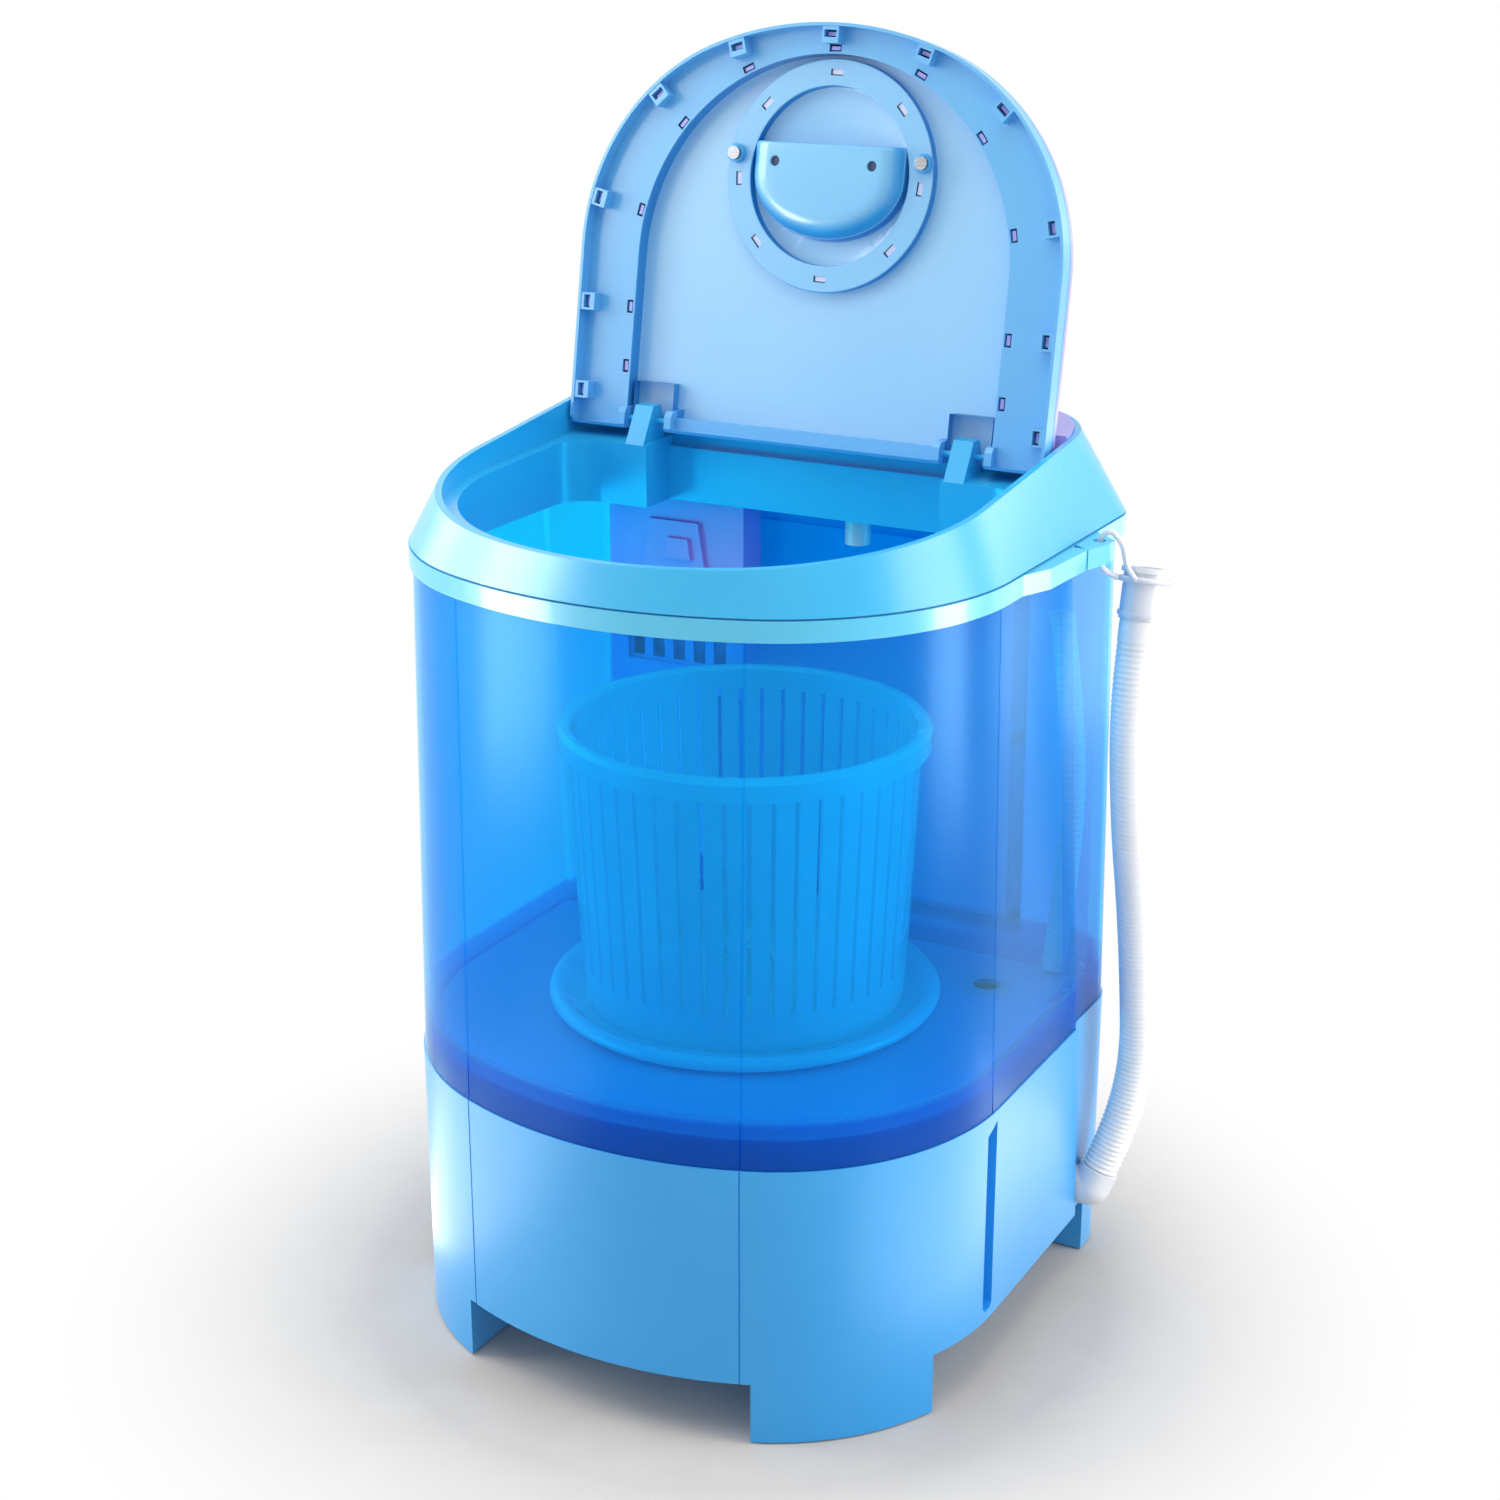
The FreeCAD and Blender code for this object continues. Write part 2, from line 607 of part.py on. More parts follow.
FEET = [("front", "$foot_front_x", "$foot_front_y"), ("rear", "$foot_rear_x", "$foot_rear_y")]


def foot_rooms():
    """The rooms inside the four feet, within the walls of the notches."""
    rooms = []
    for side, x0, x1 in two_sided("$front_notch + $base_wall", HALF):
        rooms.append(box(x0, x1, FRONT, "$side_notch_front - $base_wall", "-1", "$floor_rise"))
    for side, x0, x1 in two_sided("$rear_notch + $base_wall", HALF):
        rooms.append(box(x0, x1, "$side_notch_rear + $base_wall", REAR, "-1", "$floor_rise"))
    return fuse(*rooms)


def bowed(inset):
    """Y of the bowed front at the seams, and the seam's depth behind it."""
    radius = "($front_radius - (%s))" % inset
    return ("%s + $front_radius - sqrt(%s * %s - $seam_offset * $seam_offset) + $seam_depth"
            % (FRONT, radius, radius))


def front_seams(z0, z1, low, high):
    """The two mould seams of the front, following the wall's draft."""
    seams = []
    for side, x0, x1 in two_sided("$seam_offset - $seam_width / 2",
                                  "$seam_offset + $seam_width / 2"):
        seams.append(prism_x([("-$body_depth", z0), (low, z0), (high, z1),
                              ("-$body_depth", z1)], x0, x1))
    return seams


base_outer = stepped("0", "$foot_gap", "$base_top")
base_inner = stepped("$base_wall", "$floor_rise + $base_floor", "$base_top + 1",
                     step="$base_wall")
base_under = block("$base_wall + $side_recess", "-1", "$floor_rise")
notches = [
    box("-$front_notch", "$front_notch", "-$body_depth", "0", "-1", "$floor_rise"),
    box("-$rear_notch", "$rear_notch", "0", "$body_depth", "-1", "$floor_rise"),
    box("-$body_width", "$body_width", "$side_notch_front", "$side_notch_rear", "-1",
        "$floor_rise"),
]
hatch = box("-$hatch_half", "$hatch_half", "$hatch_front", "$hatch_rear", "0", "$base_top / 2")
base_shell = cut(base_outer, base_inner, common(base_under, foot_rooms()), hatch, *notches)

base_more = [base_shell]
base_less = front_seams("0", "$base_top + 1", bowed("0"), bowed("0"))
for side, sign in SIDES:
    for corner, x, y in FEET:
        boss = cylinder("$pad_boss", "$floor_rise + 1 - $foot_gap", sign + x, y, "$foot_gap")
        base_more.append(boss)
        seat = cylinder("$pad_radius + $fit_gap / 2", "$pad_height + 1", sign + x, y, "-1")
        base_less.append(seat)
        pad_disc = cylinder("$pad_radius", "$pad_height", sign + x, y)
        node(pad_disc, "foot_pad_%s_%s" % (corner, side))
for side, x0, x1 in two_sided(HALF + " - $groove_depth - $base_wall", HALF + " - 1"):
    base_more.append(box(x0, x1, "$groove_front - $base_wall",
                         "$groove_front + $groove_width + $base_wall",
                         "$floor_rise", "$groove_head + $base_wall"))
groove_rear = "$groove_front + $groove_width"
for side, x0, x1 in two_sided(HALF + " - $groove_depth", HALF + " + 5"):
    base_less.append(prism_x([("$groove_front", "$groove_foot + 3"),
                              ("$groove_front + 3", "$groove_foot"),
                              (groove_rear + " - 3", "$groove_foot"),
                              (groove_rear, "$groove_foot + 3"),
                              (groove_rear, "$groove_head"),
                              ("$groove_front", "$groove_head - 6")], x0, x1))
base_less.append(cylinder("$outlet_radius + $outlet_room", "40", HALF + " - 30", "$outlet_y",
                          "$outlet_z", Y_AXIS, "90"))

# service cover under the hatch, held by four screws in bosses on the floor
cover_x = "($hatch_half + $hatch_lap / 2 + 1)"
cover_corners = []
for x in ("-" + cover_x, cover_x):
    for y in ("($hatch_front + 12)", "($hatch_rear - 12)"):
        cover_corners.append((x, y))
cover_under = "$floor_rise - $cover_thick"
bottom_plate = box("-($hatch_half + $hatch_lap)", "$hatch_half + $hatch_lap",
                   "$hatch_front - $hatch_lap", "$hatch_rear + $hatch_lap",
                   cover_under, "$floor_rise")
plate_holes = []
bottom_screws = []
for x, y in cover_corners:
    base_more.append(cylinder("$screw_head", "$screw_length - $base_floor + 1", x, y,
                              "$floor_rise + $base_floor"))
    base_less.append(cylinder("$screw_radius + $screw_fit", "$screw_length", x, y,
                              "$floor_rise - 1"))
    plate_holes.append(cylinder("$screw_radius + $screw_fit", "10", x, y, cover_under + " - 1"))
    bottom_screws.append(screw(x, y, cover_under, X_AXIS, "180"))
node(cut(bottom_plate, *plate_holes), "bottom_cover")
node(group(*bottom_screws), "bottom_cover_screws")

# low cable gland in the rear wall
gland_hole = cylinder("$gland_radius", "40", "$gland_x", REAR + " + 10", "$gland_z", X_AXIS, "90")
base_less.append(gland_hole)
gland = cylinder("$gland_radius - 0.01", "$base_wall + 9", "$gland_x", REAR + " + 1", "$gland_z",
                 X_AXIS, "90")
gland_flange = cylinder("$gland_radius + 3", "1", "$gland_x", REAR + " + 1", "$gland_z",
                        X_AXIS, "90")
gland_bore = cylinder("$gland_bore", "40", "$gland_x", REAR + " + 10", "$gland_z", X_AXIS, "90")
node(cut(fuse(gland, gland_flange), gland_bore), "cord_gland")

node(cut(fuse(*base_more), *base_less), "base_housing")


# ------------------------------------------------------------------- tub

FLOOR_UNDER = "($floor_top - $floor_thick)"
DRAFT = "tan($tub_taper * 1deg)"


def tub_inset(z, wall="0"):
    """How far the tub's wall lies inside the plan outline at height z."""
    return "$tub_inset + (%s) + ((%s) - $base_top) * %s" % (wall, z, DRAFT)


def rear_face(z, depth="0"):
    """Y of the tub's rear face at height z, less a depth."""
    return "%s - $tub_inset - (%s) - ((%s) - $base_top) * %s" % (REAR, depth, z, DRAFT)


def rear_slab(half, z0, z1, near, far):
    """A slab parallel to the tub's rear face, between two depths under it."""
    return prism_x([(rear_face(z0, far), z0), (rear_face(z0, near), z0),
                    (rear_face(z1, near), z1), (rear_face(z1, far), z1)],
                   "-(%s)" % half, half)


tub_outer = stepped("$tub_inset", "$base_top", "$tub_top", taper="-$tub_taper")
foot_top = "$floor_top + $floor_fillet"
inner = stepped(tub_inset(foot_top, "$tub_wall"), foot_top, "$tub_top + 1",
                taper="-$tub_taper", step="$tub_wall")
bounds = block("0", "$floor_top", "$tub_top + 2", rear="$chamber_rear",
               rear_radius="$chamber_radius + $side_recess + $tub_wall + $tub_inset")
foot_inset = tub_inset("$floor_top", "$tub_wall + $floor_fillet")
inner_foot = block(foot_inset + " + $side_recess", "$floor_top", foot_top,
                   rear="$chamber_rear - $floor_fillet",
                   rear_radius="$chamber_radius - $floor_fillet", taper="45")
front_foot = block(foot_inset, "$floor_top", foot_top, rear="$recess_start - $tub_wall - 12",
                   taper="45")
under = stepped("$tub_inset + $tub_wall", "$base_top - 1", FLOOR_UNDER, step="$tub_wall")
duct_front = "$chamber_rear + $duct_gap"
duct = common(block("$tub_inset + $tub_wall + $side_recess", "$base_top", "$tub_top + 1",
                    taper="-$tub_taper"),
              box("-$body_width", "$body_width", duct_front, "$body_depth", "0",
                  "$tub_top + 2"))
frame = rear_slab("$back_half + $back_lap + 2", "$back_bottom - $back_lap - 2",
                  "$back_top + $back_lap + 2", "1", "$back_sunk + $back_frame")
tub_shell = fuse(cut(tub_outer, common(inner, bounds), inner_foot, front_foot, under, duct),
                 frame)
cover_seat = rear_slab("$back_half + $back_lap + $fit_gap",
                       "$back_bottom - $back_lap - $fit_gap",
                       "$back_top + $back_lap + $fit_gap", "-5", "$back_sunk")
back_opening = rear_slab("$back_half", "$back_bottom", "$back_top", "-5", "20")

tub_more = [tub_shell]
tub_less = [cover_seat, back_opening]
tub_less += front_seams("$base_top - 1", "$tub_top", bowed(tub_inset("$base_top - 1")),
                        bowed(tub_inset("$tub_top")))
seam_y = "$groove_front + $groove_width / 2"
low_x = HALF + " - $seam_depth - (" + tub_inset("$base_top") + ")"
high_x = HALF + " - $seam_depth - (" + tub_inset("$tub_top") + ")"
for sign in ("-1", "1"):
    tub_less.append(prism_y([(sign + " * (" + low_x + ")", "$base_top"),
                             (sign + " * $body_width", "$base_top"),
                             (sign + " * $body_width", "$tub_top"),
                             (sign + " * (" + high_x + ")", "$tub_top")],
                            seam_y + " - $seam_width / 2", seam_y + " + $seam_width / 2"))
tub_less.append(cylinder("$seal_radius", "$floor_thick + 2", "0", "$drum_y",
                         FLOOR_UNDER + " - 1"))
tub_less.append(cylinder("$drain_radius", "$floor_thick + 2", "$drain_x", "$drain_y",
                         FLOOR_UNDER + " - 1"))

# posts moulded under the tub's floor carry the motor's plate
motor_screws = []
motor_holes = []
for x in ("$motor_x - $mount_half + $post_inset", "$motor_x + $mount_half - $post_inset"):
    for y in ("$motor_y - $mount_half + $post_inset", "$motor_y + $mount_half - $post_inset"):
        post_foot = "$mount_height + $mount_plate"
        tub_more.append(cylinder("$post_radius", FLOOR_UNDER + " + 1 - (" + post_foot + ")",
                                 x, y, post_foot))
        tub_less.append(cylinder("$screw_radius + $screw_fit", "$screw_length", x, y,
                                 post_foot + " - 1"))
        motor_holes.append(cylinder("$screw_radius + $screw_fit", "$mount_plate + 2", x, y,
                                    "$mount_height - 1"))
        motor_screws.append(screw(x, y, "$mount_height", X_AXIS, "180"))
node(group(*motor_screws), "motor_plate_screws")

# pilot holes in the floor for the bearing housing
bearing_screws = []
bearing_holes = []
for i in range(4):
    turn = "(45deg + %d * 90deg)" % i
    x = "$flange_screws * cos%s" % turn
    y = "$drum_y + $flange_screws * sin%s" % turn
    tub_less.append(cylinder("$screw_radius + $screw_fit", "$floor_thick - 1 + 0.2", x, y,
                             FLOOR_UNDER + " - 0.2"))
    bearing_holes.append(cylinder("$screw_radius + $screw_fit", "$flange_thick + 2", x, y,
                                  FLOOR_UNDER + " - $flange_thick - 1"))
    bearing_screws.append(screw(x, y, FLOOR_UNDER + " - $flange_thick", X_AXIS, "180"))
node(group(*bearing_screws), "bearing_screws")

# rear cover in its seat, with six screws
plate = rear_slab("$back_half + $back_lap", "$back_bottom - $back_lap", "$back_top + $back_lap",
                  "$back_sunk - $cover_thick", "$back_sunk")
back_holes = []
back_screws = []
for x in ("-($back_half + $back_lap / 2)", "$back_half + $back_lap / 2"):
    for z in ("$back_bottom", "($back_bottom + $back_top) / 2", "$back_top"):
        y = rear_face(z, "$back_sunk - $cover_thick")
        back_holes.append(cylinder("$screw_radius + $screw_fit", "$screw_length + 1", x,
                                   y + " + 1", z, X_AXIS, "90 + $tub_taper"))
        back_screws.append(screw(x, y, z, BACKWARD, "90 - $tub_taper"))
node(cut(plate, *back_holes), "rear_cover")
node(group(*back_screws), "rear_cover_screws")
tub_less += back_holes

node(cut(fuse(*tub_more), *tub_less), "tub")

# ------------------------------------------------------------------- rim

rim_body = block("$rim_inset", "$rim_bottom", "$rim_top")
rim_hole = block("$rim_inner", "$rim_bottom - 1", "$rim_top + 1")
channel = cut(stepped(tub_inset("$rim_bottom", "-2 * $fit_gap"), "$rim_bottom - 1",
                      "$tub_top + 0.1"),
              stepped(tub_inset("$tub_top", "$tub_wall + 2 * $fit_gap"), "$rim_bottom - 2",
                      "$tub_top + 1", step="$tub_wall + 5"))


def upright(points, z0, z1):
    """A plan polygon drawn upward."""
    body = make_body("Plan")
    sketch = make_sketch(body, "XY_Plane", z0)
    polygon(sketch, points)
    pad(body, sketch, "(%s) - (%s)" % (z1, z0))
    return body


rim_more = []
rim_less = [channel,
            box("-" + HALF + " + $rim_inset + 2.5", HALF + " - $rim_inset - 2.5",
                "$chamber_rear - $chamber_radius - 3", "$chamber_rear + $duct_gap + $fit_gap",
                "$rim_bottom - 1", "$tub_top + $fit_gap / 2")]
for side, sign in SIDES:
    edge = sign + "(" + HALF + " - $rim_inset - 1)"
    rim_more.append(upright([(edge, "$grip_front"), (sign + "($grip_out - 2.5)",
                              "$grip_front + $grip_ramp"), (sign + "$grip_out", "$grip_rear"),
                             (edge, "$grip_rear")], "$rim_bottom", "$rim_top"))
    rim_more.append(upright([(edge, "$eye_front"), (sign + "($eye_out - 5)", "$eye_front - 9"),
                             (sign + "$eye_out", "$eye_y - 5"),
                             (sign + "$eye_out", "$eye_y + 4"), (edge, "$eye_rear")],
                            "$rim_bottom", "$rim_top"))
    rim_less.append(cylinder("$eye_radius", "$rim_top - $rim_bottom + 2", sign + "$eye_x",
                             "$eye_y", "$rim_bottom - 1"))
node(cut(fuse(cut(rim_body, rim_hole), *rim_more), *rim_less), "rim")

# ---------------------------------------------------------------- collar


def slope_y(along, out="0"):
    """Y of a point of the sloped top: along it from the front, and out of it."""
    return "(%s + (%s) * cos($top_tilt * 1deg) - (%s) * sin($top_tilt * 1deg))" % (
        FRONT, along, out)


def slope_z(along, out="0"):
    return "($top_front + (%s) * sin($top_tilt * 1deg) + (%s) * cos($top_tilt * 1deg))" % (
        along, out)


def seat_z(y, above="0"):
    """Height of the lid's seat at Y."""
    return "($floor_height + ((%s) - $throat_rear) * tan($floor_tilt * 1deg) + (%s))" % (y, above)


def top_z(y, above="0"):
    """Height of the sloped top at Y."""
    return "($top_front + ((%s) - (%s)) * tan($top_tilt * 1deg) + (%s))" % (y, FRONT, above)


collar_body = make_body("Collar")
plinth = make_sketch(collar_body, "XY_Plane", "$rim_top")
whole_outline(plinth, "$reveal_inset")
pad(collar_body, plinth, "$reveal")
lower = make_sketch(collar_body, "XY_Plane", "$rim_top + $reveal")
whole_outline(lower, "$collar_inset")
upper = make_sketch(collar_body, "XY_Plane", "$top_front")
upper.AttachmentOffset = Placement(Vector(), Rotation(Vector(1, 0, 0), 5))
upper.setExpression("AttachmentOffset.Rotation.Angle", names("$top_tilt"))
upper.setExpression("AttachmentOffset.Base.y", names(FRONT))
EDGE = "$lid_room + $rim_edge"
outline(upper, "$lid_half + " + EDGE, "$lid_edge - $lid_length - $lid_room - $rim_edge - " + FRONT,
        "$top_rear", "$lid_front_radius + " + EDGE, "$lid_corner_radius + " + EDGE,
        "$top_rear_radius")
loft = collar_body.newObject("PartDesign::AdditiveLoft", "Collar_loft")
loft.Profile = lower
loft.Sections = [upper]
loft.Ruled = True


def upright_outline(half, front, rear, front_radius, corner_radius, z0, z1, rear_radius=None):
    body = make_body("Opening")
    sketch = make_sketch(body, "XY_Plane", z0)
    outline(sketch, half, front, rear, front_radius, corner_radius, rear_radius)
    pad(body, sketch, "(%s) - (%s)" % (z1, z0))
    return body


skirt = upright_outline("$throat_half + $skirt_wall", "$throat_front - $skirt_wall",
                        "$throat_rear + $skirt_wall",
                        "$lid_front_radius - $lid_half + $throat_half + $skirt_wall",
                        "$lid_corner_radius - $lid_half + $throat_half + $skirt_wall",
                        "$skirt_bottom", "$rim_top + 4", "$throat_corner + $skirt_wall")
bay_skirt = box("-($gutter_half + $skirt_wall)", "$gutter_half + $skirt_wall", "0",
                "$gutter_rear + $skirt_wall", "$skirt_bottom", "$rim_top + 4")
throat = upright_outline("$throat_half", "$throat_front", "$throat_rear",
                         "$lid_front_radius - $lid_half + $throat_half",
                         "$lid_corner_radius - $lid_half + $throat_half",
                         "$skirt_bottom - 1", "$top_front + 80", "$throat_corner")
bay = box("-$gutter_half", "$gutter_half", "0", "$gutter_rear", "$skirt_bottom - 1",
          "$top_front + 80")
gutter = box("-$gutter_half", "$gutter_half", "0", "$recess_rear", "$gutter_height",
             "$top_front + 80")
recess_plan = upright_outline("$lid_half + $lid_room", "$lid_edge - $lid_length - $lid_room",
                              "$recess_rear", "$lid_front_radius + $lid_room",
                              "$lid_corner_radius + $lid_room", "$rim_top",
                              "$top_front + 90")
recess_side = prism_x([("-$body_depth", seat_z("-$body_depth")),
                       ("$body_depth", seat_z("$body_depth")),
                       ("$body_depth", "$top_front + 200"),
                       ("-$body_depth", "$top_front + 200")], "-$body_width", "$body_width")

# the control panel's seat behind the lid
dash_radius = "$top_rear_radius - $rim_edge"
dash_rear = slope_y("$top_rear - $rim_edge")
deck_plan = upright_outline("$lid_half + $lid_room", "$lid_edge - $lid_length", dash_rear,
                            "$lid_front_radius + $lid_room",
                            "$lid_corner_radius + $lid_room", "$rim_top",
                            "$top_front + 90", dash_radius)
deck_side = prism_x([("$recess_rear - 0.5", top_z("$recess_rear - 0.5", "-$deck_sunk")),
                     ("$body_depth", top_z("$body_depth", "-$deck_sunk")),
                     ("$body_depth", "$top_front + 200"),
                     ("$recess_rear - 0.5", "$top_front + 200")],
                    "-$body_width", "$body_width")
cavity = prism_x([("$deck_front", "$rim_top - 1"), ("$deck_rear", "$rim_top - 1"),
                  ("$deck_rear", top_z("$deck_rear", "-$deck_sunk - $deck_sheet")),
                  ("$deck_front", top_z("$deck_front", "-$deck_sunk - $deck_sheet"))],
                 "-$deck_half", "$deck_half")
hollow = cut(common(block("$rim_inner + 1", "$rim_top - 1", "$top_front + 30"),
                    prism_x([("-$body_depth", "$rim_top - 2"),
                             ("$throat_rear - 20", "$rim_top - 2"),
                             ("$throat_rear - 20", seat_z("$throat_rear - 20", "-$skirt_wall")),
                             ("-$body_depth", seat_z("-$body_depth", "-$skirt_wall"))],
                            "-$body_width", "$body_width")),
             upright_outline("$throat_half + $skirt_wall", "$throat_front - $skirt_wall",
                             "$throat_rear + $skirt_wall",
                             "$lid_front_radius - $lid_half + $throat_half + $skirt_wall",
                             "$lid_corner_radius - $lid_half + $throat_half + $skirt_wall",
                             "$rim_top - 2", "$top_front + 80",
                             "$throat_corner + $skirt_wall"))
block_rooms = []
for side, x0, x1 in two_sided("$gutter_half + $skirt_wall", "$deck_half"):
    block_rooms.append(box(x0, x1, "$throat_rear + $skirt_wall", "$deck_front + 1",
                           "$rim_top - 1", "$floor_height - $deck_sheet"))

# hinge towers either side of the bay
PIN_Y = ("($lid_edge - $pin_back * cos($floor_tilt * 1deg)"
         " - $pin_under * sin($floor_tilt * 1deg))")
PIN_Z = "(" + seat_z("$lid_edge", "$lid_gap") + (
    " - $pin_back * sin($floor_tilt * 1deg) + $pin_under * cos($floor_tilt * 1deg))")
towers = []
pin_holes = []
for side, x0, x1 in two_sided("$tower_in", "$tower_out"):
    towers.append(prism_x([("$throat_rear", "$floor_height - 1"),
                           (PIN_Y + " + $tower_back", "$floor_height - 1"),
                           (PIN_Y + " + $tower_back", PIN_Z),
                           (PIN_Y + " + $tower_back - 4", PIN_Z + " + $tower_top"),
                           (PIN_Y + " - $tower_lean", PIN_Z + " + $tower_top"),
                           ("$throat_rear", "$floor_height")], x0, x1))
    pin_holes.append(cylinder("$pin_radius + $pin_gap", "$body_width", "-" + HALF, PIN_Y, PIN_Z,
                              Y_AXIS, "90"))
pin_holes = pin_holes[:1]
deck_hole = prism_x([(slope_y("$deck_open_front"), "$rim_top + 10"),
                     (slope_y("$deck_open_rear"), "$rim_top + 10"),
                     (slope_y("$deck_open_rear"), "$top_front + 80"),
                     (slope_y("$deck_open_front"), "$top_front + 80")],
                    "-$deck_open_half", "$deck_open_half")
collar = cut(fuse(collar_body, skirt, bay_skirt), common(recess_plan, recess_side), throat, bay,
             gutter, common(deck_plan, deck_side), cavity, hollow, deck_hole, *block_rooms)
node(cut(fuse(collar, *towers), *pin_holes), "collar")

# ------------------------------------------------------------------- lid
# Modelled closed and flat: hinge edge on y 0, lower edge on z 0, front on -y.

LID_Y = "(%s - $pin_back * sin($lid_open * 1deg) - $pin_under * cos($lid_open * 1deg))" % PIN_Y
LID_Z = "(%s - $pin_back * cos($lid_open * 1deg) + $pin_under * sin($lid_open * 1deg))" % PIN_Z
SHEET_TOP = "($arch_drop + $panel_wall)"


def on_lid(obj):
    return place(obj, "0", LID_Y, LID_Z, BACKWARD, "90 + $lid_open")


def lid_block(inset, z0, z1, rounding=None):
    """A block with the lid's plan, its top edge rounded."""
    body = make_body("Lid_block")
    sketch = make_sketch(body, "XY_Plane", z0)
    outline(sketch, "$lid_half - (%s)" % inset, "(%s) - $lid_length" % inset, "-(%s)" % inset,
            "$lid_front_radius - (%s)" % inset, "$lid_corner_radius - (%s)" % inset)
    plate = pad(body, sketch, "(%s) - (%s)" % (z1, z0))
    if rounding:
        doc.recompute()
        top = number(z1)
        edges = []
        for i, edge in enumerate(plate.Shape.Edges):
            if min(v.Z for v in edge.Vertexes) > top - 0.01:
                edges.append("Edge%d" % (i + 1))
        fillet = body.newObject("PartDesign::Fillet", "Lid_fillet")
        fillet.Base = (plate, edges)
        fillet.setExpression("Radius", names(rounding))
        body.Tip = fillet
    return body


def arch_block(radius, rear, z0, z1):
    """The lid's deep middle: round at the front, straight sides to the rear."""
    body = make_body("Arch")
    sketch = make_sketch(body, "XY_Plane", z0)
    r, yc, back = number(radius), -number("$arch_centre"), -number(rear)
    turn = sketch.addGeometry(arc(Vector(0, yc, 0), r, 180, 360), False)
    right = sketch.addGeometry(Part.LineSegment(Vector(r, yc, 0), Vector(r, back, 0)), False)
    line = sketch.addGeometry(Part.LineSegment(Vector(r, back, 0), Vector(-r, back, 0)), False)
    left = sketch.addGeometry(Part.LineSegment(Vector(-r, back, 0), Vector(-r, yc, 0)), False)
    sketch.addConstraint(Sketcher.Constraint("Tangent", turn, 2, right, 1))
    sketch.addConstraint(Sketcher.Constraint("Coincident", right, 2, line, 1))
    sketch.addConstraint(Sketcher.Constraint("Coincident", line, 2, left, 1))
    sketch.addConstraint(Sketcher.Constraint("Tangent", left, 2, turn, 1))
    sketch.addConstraint(Sketcher.Constraint("Vertical", right))
    sketch.addConstraint(Sketcher.Constraint("Horizontal", line))
    sketch.addConstraint(Sketcher.Constraint("PointOnObject", turn, 3, -2))
    fix(sketch, "Radius", turn, None, radius)
    fix(sketch, "DistanceY", turn, 3, "-$arch_centre")
    fix(sketch, "DistanceY", right, 2, "-(%s)" % rear)
    pad(body, sketch, "(%s) - (%s)" % (z1, z0))
    return body


def cup(inset, z0, z1, taper):
    """The round hand cup with its flat front side, narrowing downward."""
    body = make_body("Cup")
    sketch = make_sketch(body, "XY_Plane", z1)
    radius, flat = "$cup_radius - (%s)" % inset, "$cup_flat - (%s)" % inset
    r, f = number(radius), number(flat)
    turn = math.degrees(math.asin(f / r))
    round_side = sketch.addGeometry(arc(Vector(), r, -turn, 180 + turn), False)
    half = math.sqrt(r * r - f * f)
    line = sketch.addGeometry(Part.LineSegment(Vector(-half, -f, 0), Vector(half, -f, 0)), False)
    sketch.addConstraint(Sketcher.Constraint("Coincident", round_side, 2, line, 1))
    sketch.addConstraint(Sketcher.Constraint("Coincident", line, 2, round_side, 1))
    sketch.addConstraint(Sketcher.Constraint("Horizontal", line))
    sketch.addConstraint(Sketcher.Constraint("PointOnObject", round_side, 3, -1))
    sketch.addConstraint(Sketcher.Constraint("PointOnObject", round_side, 3, -2))
    fix(sketch, "Radius", round_side, None, radius)
    fix(sketch, "DistanceY", line, 1, "-(%s)" % flat)
    pad(body, sketch, "(%s) - (%s)" % (z1, z0), upward=False, taper=taper)
    return place(body, "0", "-$grip_centre - $cup_ahead")


def brick(length, width, z0, z1, x, y, angle="0"):
    """An upright brick centred on x, y, its length turned from X by angle."""
    body = upright([("-(%s) / 2" % length, "-(%s) / 2" % width),
                    ("(%s) / 2" % length, "-(%s) / 2" % width),
                    ("(%s) / 2" % length, "(%s) / 2" % width),
                    ("-(%s) / 2" % length, "(%s) / 2" % width)], z0, z1)
    return place(body, x, y, "0", Z_AXIS, angle)


KNEE = ("(-$lid_length + $lid_front_radius - sqrt(($lid_front_radius - $lid_corner_radius)^2"
        " - ($lid_half - $lid_corner_radius)^2))")


def along_edge(inset):
    """Stations (x, y, angle) along the lid's edge, an inset inside it."""
    spots = [("0", "(%s) - $lid_length" % inset, "0")]
    for side, sign in SIDES:
        turn = "(360 - %s)" if side == "left" else "(%s)"
        reach = "($lid_front_radius - (%s))" % inset
        spots.append((sign + reach + " * sin(17.4deg)",
                      "-$lid_length + $lid_front_radius - %s * cos(17.4deg)" % reach,
                      turn % "17.4"))
        reach = "($lid_corner_radius - (%s))" % inset
        for bend in ("43", "77"):
            spots.append((sign + "($lid_half - $lid_corner_radius + %s * sin(%sdeg))"
                          % (reach, bend), KNEE + " - %s * cos(%sdeg)" % (reach, bend),
                          turn % bend))
        for y in ("-71.5", "-20"):
            spots.append((sign + "($lid_half - (%s))" % inset, y, "90"))
    return spots


def along_arch(outset):
    """Stations round the deep middle, an outset outside it."""
    reach = "($arch_half + (%s))" % outset
    spots = [("0", "-$arch_centre - " + reach, "0")]
    for side, sign in SIDES:
        turn = "(360 - %s)" if side == "left" else "(%s)"
        for bend in ("26.5", "51", "78"):
            spots.append((sign + reach + " * sin(%sdeg)" % bend,
                          "-$arch_centre - %s * cos(%sdeg)" % (reach, bend), turn % bend))
        for y in ("-70.5", "-36"):
            spots.append((sign + reach, y, "90"))
    return spots


